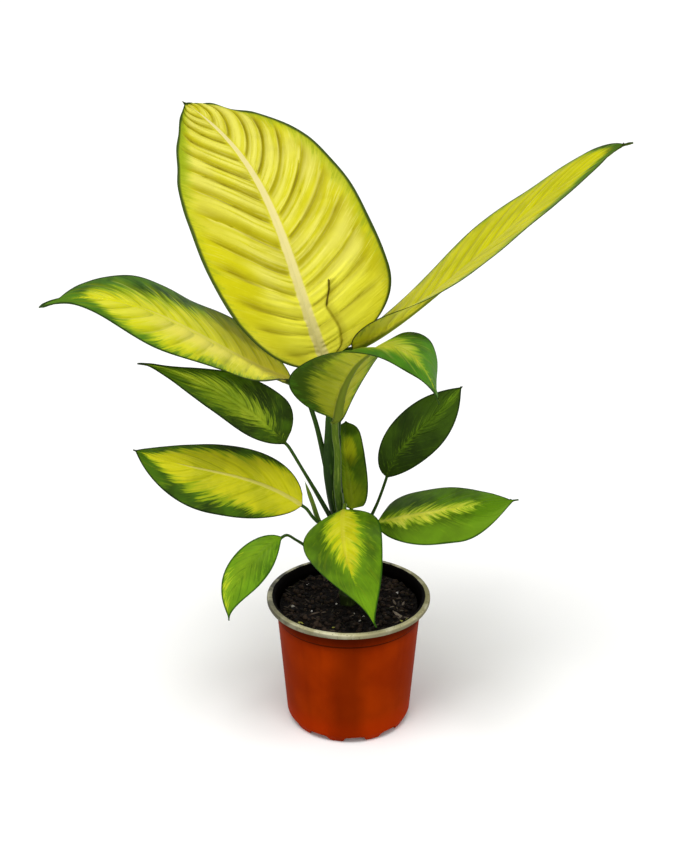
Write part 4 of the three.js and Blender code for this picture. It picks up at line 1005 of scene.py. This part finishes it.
def buildPot(outside, inside):
    # the wall's profile turned about Z: underside, foot, body, collar, rolled rim, and back down inside. Its
    # upper part is out of round by sin(2a) and sin(5a). Ten channels, wider below than above, and ten drain
    # holes are then cut from under it. Each corner is a radius, a height and how far it is rounded.
    top, rim, wall, foot = pot["height"], pot["rimRadius"], pot["wall"], pot["bodyFootRadius"]
    body, collar, collarFoot = pot["bodyTopRadius"], pot["collarRadius"], pot["collarFoot"]
    step, floor, bend, columns = pot["collarStep"], pot["floorTop"], pot["floorRound"], pot["columns"]
    rimFoot, innerFoot, middle = top - pot["rimDrop"], foot - wall, 0.5
    outer = [
        (middle, 0, 0), (pot["undersideRadius"], 0, 0.8), (foot - 0.3, pot["bodyFoot"] - 1, 0.3),
        (foot + 0.1, pot["bodyFoot"] + 0.5, 0.4), (body, collarFoot - step, 0.2),
        (body + step, collarFoot, 0.3), (collar, rimFoot, 0.4), (rim - pot["rimCurl"], rimFoot, 0),
    ]
    inner = [
        (rim - pot["rimCurl"], rimFoot, 0), (rim, rimFoot + 0.1, 1.3), (rim, top, 1.9),
        (pot["rimInnerRadius"] - 0.6, top - 0.2, 2.0), (collar - wall, rimFoot - 1, 0.6),
        (body + step - wall, collarFoot + 0.4, 0.3), (body - wall, collarFoot - step, 0.3),
        (innerFoot, floor + bend, 1), (innerFoot - bend, floor, 0.8), (middle, floor, 0),
    ]
    outerLine, innerLine = (splitRows(roundedProfile(part), pot["longestStep"]) for part in (outer, inner))
    line = np.concatenate([outerLine, innerLine[1:]])
    rings = latheRings(line, columns)
    turn = np.arctan2(rings[..., 1], rings[..., 0])
    oval, ripple = pot["outOfRound"]
    sag = oval * np.sin(2 * turn + 0.6) + ripple * np.sin(5 * turn)
    rings[..., :2] *= (1 + sag * smoothStep(rings[..., 2], pot["roundBelow"], top) / rim)[..., None]
    points = np.concatenate([rings.reshape(-1, 3), [[0, 0, 0], [0, 0, floor]]]) * mm
    piece = makeObject("pot_wall", points, ringFaces(len(line), columns), [outside, inside])
    within = np.repeat(np.arange(len(line) - 1) >= len(outerLine) - 1, columns)
    layer = np.concatenate([within, np.zeros(columns), np.ones(columns)])
    piece.data.polygons.foreach_set("material_index", layer.astype(np.int32))
    turns = [math.radians(pot["notchTurn"] + 360 * k / pot["notches"]) for k in range(pot["notches"])]
    cutters = [channelCutter(f"channel{k}", turn, outside) for k, turn in enumerate(turns)]
    cutters += [drainCutter(f"drain{k}", turn, outside) for k, turn in enumerate(turns)]
    cutAway(piece, cutters)
    piece.data.set_sharp_from_angle(angle=math.radians(pot["sharpOver"]))
    addPiece(piece, "pot")


buildPot(potMaterial(), rimMaterial())
print("pot built")


# Sizes of the soil in mm, as the solid has them. lumps: for each layer of noise its height, its size, the
# shift of its lattice and its seed. calmRim: how much flatter the lumps are at the wall.
soil = dict(
    top=92, crown=1.0, radius=50.85, shoulder=85.6,
    footRadius=44.25, footCorner=9, footInner=41.25, foot=6.85,
    lumps=[(0.9, 11, 20, 61), (0.7, 4.7, 30, 62), (0.55, 2.1, 40, 63), (0.35, 1.05, 60, 64)],
    calmRim=0.4, innerRing=0.6, columns=260, rows=130,
)

# The form of a bit: rings and points of its body, how jagged and tilted it is, how much most are smaller than
# the largest, and the mm kept clear round the cane and at the wall
bitForm = dict(rings=4, sides=6, jagged=0.25, tilt=0.25, smallness=2.2, clear=8, border=1.5, firstSeed=71)

# What lies in the soil: how many at random, or the places in mm as seen in the photo, lengths in mm,
# thickness as a share of the length, length over width, how deep it is sunk, its colours, its grain per metre
# and its roughness
bits = [
    dict(name="peat_crumbs", count=900, lengths=(1.0, 5.2), flat=0.7, stretch=1.25, sink=0.35,
         material="peat_crumbs_damp", dark="#060302", light="#32251a", grain=700.0, roughness=0.85),
    dict(name="bark_shreds", count=190, lengths=(2.0, 8.0), flat=0.16, stretch=4.0, sink=0.1,
         material="bark_shredded_weathered", dark="#15100c", light="#564a3e", grain=500.0, roughness=0.8),
    dict(name="bark_flakes", lengths=(5.0, 10.0), flat=0.14, stretch=2.6, sink=0.0,
         places=[(34, -1), (38, -13), (42, -22), (36, -20), (31, -8), (40, -4)],
         material="bark_flaked_weathered", dark="#4a4038", light="#8a7c6c", grain=500.0, roughness=0.8),
    dict(name="perlite", lengths=(1.5, 3.0), flat=0.85, stretch=1.2, sink=0.2,
         places=[(-41, -6), (-27, -13), (-32, -19), (4, -17), (11, -22), (8, -27), (-9, -2), (22, 30),
                 (-30, 24), (5, 38), (-12, 33), (36, 14)],
         material="perlite_expanded", dark="#a09a92", light="#dedad2", grain=900.0, roughness=0.9),
    dict(name="dry_leaf_bits", lengths=(2.5, 6.0), flat=0.3, stretch=1.8, sink=0.0,
         places=[(-11, -36), (42, -24), (39, -28), (1, -44), (5, -48), (9, -48), (-6, -47), (-13, -46),
                 (-35, -30)],
         material="leaf_scraps_dry", dark="#7d7a30", light="#b4b450", grain=500.0, roughness=0.7),
]


def soilHeight(x, y):
    # mm above the pot's foot: top + crown (1 - r^2), and layers of noise, coarse to fine
    r = np.hypot(x, y) / soil["radius"]
    lumps = sum(high * latticeNoise(x / size + shift, y / size + shift, seed)
                for high, size, shift, seed in soil["lumps"])
    return soil["top"] + soil["crown"] * (1 - r * r) + lumps * (1 - soil["calmRim"] * r)


def peatMaterial():
    # Peat potting mix, sieved and watered: nearly black, matt, every crumb edge rough
    material, add = newMaterial("peat_damp")
    place = add("TexCoord", output="Object")
    cloud, grit = (add("TexNoise", {"Vector": place, "Scale": scale, "Detail": detail})
                   for scale, detail in ((140.0, 6.0), (900.0, 4.0)))
    colour = layered(add, "#060403", [
        ("#120b07", cloud, 0.35, 0.7, 1.0),
        ("#231810", grit, 0.58, 0.75, 0.5),
    ])
    relief = add("Math", [cloud, 2.0, grit], operation="MULTIPLY_ADD")
    bump = add("Bump", {"Height": relief, "Strength": 0.8, "Distance": 0.5 * mm})
    gloss = add("Math", [grit, 0.3, 0.65], operation="MULTIPLY_ADD")
    return finishMaterial(material, add("BsdfPrincipled", {
        "Base Color": colour, "Roughness": gloss, "Normal": bump, "Specular IOR Level": 0.1}))


def bitsMaterial(kind):
    # Loose bits in the mix, matt: perlite is puffed volcanic glass, bark is shredded and weathered grey, leaf
    # scraps are dry. Each bit has its own shade, from its attribute.
    material, add = newMaterial(kind["material"])
    place = add("TexCoord", output="Object")
    grain = add("TexNoise", {"Vector": place, "Scale": kind["grain"], "Detail": 4.0})
    shade = add("Attribute", output="Fac", attribute_name="shade")
    colour = layered(add, kind["dark"], [
        (kind["light"], shade, 0.0, 1.0, 1.0),
        (kind["dark"], grain, 0.5, 0.75, 0.5),
    ])
    bump = add("Bump", {"Height": grain, "Strength": 0.6, "Distance": 0.25 * mm})
    return finishMaterial(material, add("BsdfPrincipled", {
        "Base Color": colour, "Normal": bump, "Roughness": kind["roughness"], "Specular IOR Level": 0.2}))


def buildSoil(material):
    # one closed body: the foot, the wall, and rings of the rough top running in to the middle
    columns = soil["columns"]
    walls = [(soil["footInner"], soil["foot"]), (soil["footRadius"], soil["footCorner"]),
             (soil["radius"], soil["shoulder"])]
    r, turn = np.linspace(soil["radius"], soil["innerRing"], soil["rows"])[:, None], fullTurn(columns)
    x, y = r * np.cos(turn), r * np.sin(turn)
    top = np.stack([x, y, soilHeight(x, y)], -1)
    rings = np.concatenate([latheRings(np.array(walls, float), columns), top])
    middle = np.array([[0, 0, soil["foot"]], [0, 0, soilHeight(np.zeros(1), np.zeros(1))[0]]])
    points = np.concatenate([rings.reshape(-1, 3), middle]) * mm
    addPiece(makeObject("peat", points, ringFaces(len(rings), columns), [material]), "soil")


def scatterBits(kind, seed, material):
    # many small bodies in one mesh: a ball of a few rings with jagged radii, stretched along its own X,
    # turned at random, tilted a little and set on the soil
    rng = np.random.default_rng(seed)
    rows, columns, border = bitForm["rings"], bitForm["sides"], bitForm["clear"] + bitForm["border"]
    lat, lon = np.meshgrid(np.linspace(0.2, np.pi - 0.2, rows), fullTurn(columns), indexing="ij")
    ball = np.stack([np.cos(lat), np.sin(lat) * np.cos(lon), np.sin(lat) * np.sin(lon)], -1).reshape(-1, 3)
    ball = np.concatenate([ball, [[1, 0, 0], [-1, 0, 0]]])
    if "places" in kind:
        x, y = np.array(kind["places"], float).T
    else:
        reach = bitForm["clear"] + (soil["radius"] - border) * np.sqrt(rng.random(kind["count"]))
        turn = rng.random(kind["count"]) * 2 * np.pi
        x, y = reach * np.cos(turn), reach * np.sin(turn)
    count = len(x)
    low, high = kind["lengths"]
    size = low + (high - low) * rng.random(count) ** bitForm["smallness"]
    form = ball[None] * (1 + bitForm["jagged"] * rng.uniform(-1, 1, (count, len(ball), 1)))
    form = form * np.stack([size, size / kind["stretch"], size * kind["flat"]], -1)[:, None] / 2
    spin, tilt = rng.random(count)[:, None] * 2 * np.pi, rng.normal(0, bitForm["tilt"], count)[:, None]
    ahead = form[..., 0] * np.cos(tilt) + form[..., 2] * np.sin(tilt)
    above = form[..., 2] * np.cos(tilt) - form[..., 0] * np.sin(tilt)
    base = soilHeight(x, y) + size * kind["flat"] * (0.5 - kind["sink"])
    points = np.stack([
        x[:, None] + ahead * np.cos(spin) - form[..., 1] * np.sin(spin),
        y[:, None] + ahead * np.sin(spin) + form[..., 1] * np.cos(spin),
        base[:, None] + above,
    ], -1)
    offsets, faces = (np.arange(count) * len(ball))[:, None, None], []
    for corners in (4, 3):
        flats = np.array([face for face in ringFaces(rows, columns) if len(face) == corners])
        faces += (flats[None] + offsets).reshape(-1, corners).tolist()
    piece = makeObject(kind["name"], points.reshape(-1, 3) * mm, faces, [material])
    addPiece(piece, None, {"shade": np.repeat(rng.random(count), len(ball))})


buildSoil(peatMaterial())
for number, kind in enumerate(bits):
    scatterBits(kind, bitForm["firstSeed"] + number, bitsMaterial(kind))
print("soil built")


# Floor, light and camera: lengths in metres, angles in degrees, the camera's place as read from the photo
studio = dict(
    floorHalf=300.0,  # its far end lies at the horizon, above which low views show the grey world
    floorColour="#fcfcfb",
    worldStrength=0.62,
    cameraPlace=(-6.3 * mm, -1035.8 * mm, 674.8 * mm),
    cameraPitch=23,
    lens=67.76,
    clipStart=0.01,
    lamps=[
        dict(name="top", kind="SUN", place=(-0.15, -0.35, 1.0), aim=(0, 0, 0), angle=28, energy=1.8),
        dict(name="sideRight", kind="AREA", place=(0.9, -0.85, 0.35), aim=(0, 0, 0.1), size=0.5, energy=2.5),
        dict(name="sideLeft", kind="AREA", place=(-0.6, -1.0, 0.35), aim=(0, 0, 0.1), size=0.5, energy=2.0),
    ],
)


def buildStudio():
    half = studio["floorHalf"]
    material, add = newMaterial("paper_backdrop_matt")
    finishMaterial(material, add("BsdfPrincipled", {
        "Base Color": studio["floorColour"], "Roughness": 0.9, "Specular IOR Level": 0.1}))
    corners = np.array([(-half, -half, 0), (half, -half, 0), (half, half, 0), (-half, half, 0)])
    makeObject("floor", corners, [(0, 1, 2, 3)], [material])
    world = bpy.data.worlds.new("studio")
    world.use_nodes = True
    sky = world.node_tree.nodes["Background"]
    sky.inputs["Color"].default_value = (1, 1, 1, 1)
    sky.inputs["Strength"].default_value = studio["worldStrength"]
    bpy.context.scene.world = world
    for given in studio["lamps"]:
        lamp = bpy.data.lights.new(given["name"], given["kind"])
        lamp.energy = given["energy"]
        if given["kind"] == "SUN":
            lamp.angle = math.radians(given["angle"])
        else:
            lamp.size = given["size"]
        item = bpy.data.objects.new(given["name"], lamp)
        way = np.array(given["aim"], float) - np.array(given["place"], float)
        tip = math.atan2(math.hypot(way[0], way[1]), -way[2])
        item.rotation_euler = (tip, 0, math.atan2(-way[0], way[1]))
        item.location = given["place"]
        bpy.context.scene.collection.objects.link(item)
    camera = bpy.data.objects.new("camera", bpy.data.cameras.new("camera"))
    camera.data.lens = studio["lens"]
    camera.data.clip_start = studio["clipStart"]
    camera.location = studio["cameraPlace"]
    camera.rotation_euler = (math.radians(90 - studio["cameraPitch"]), 0, 0)
    bpy.context.scene.collection.objects.link(camera)
    bpy.context.scene.camera = camera
    bpy.context.scene.view_settings.view_transform = "Standard"


buildStudio()
print("studio set")
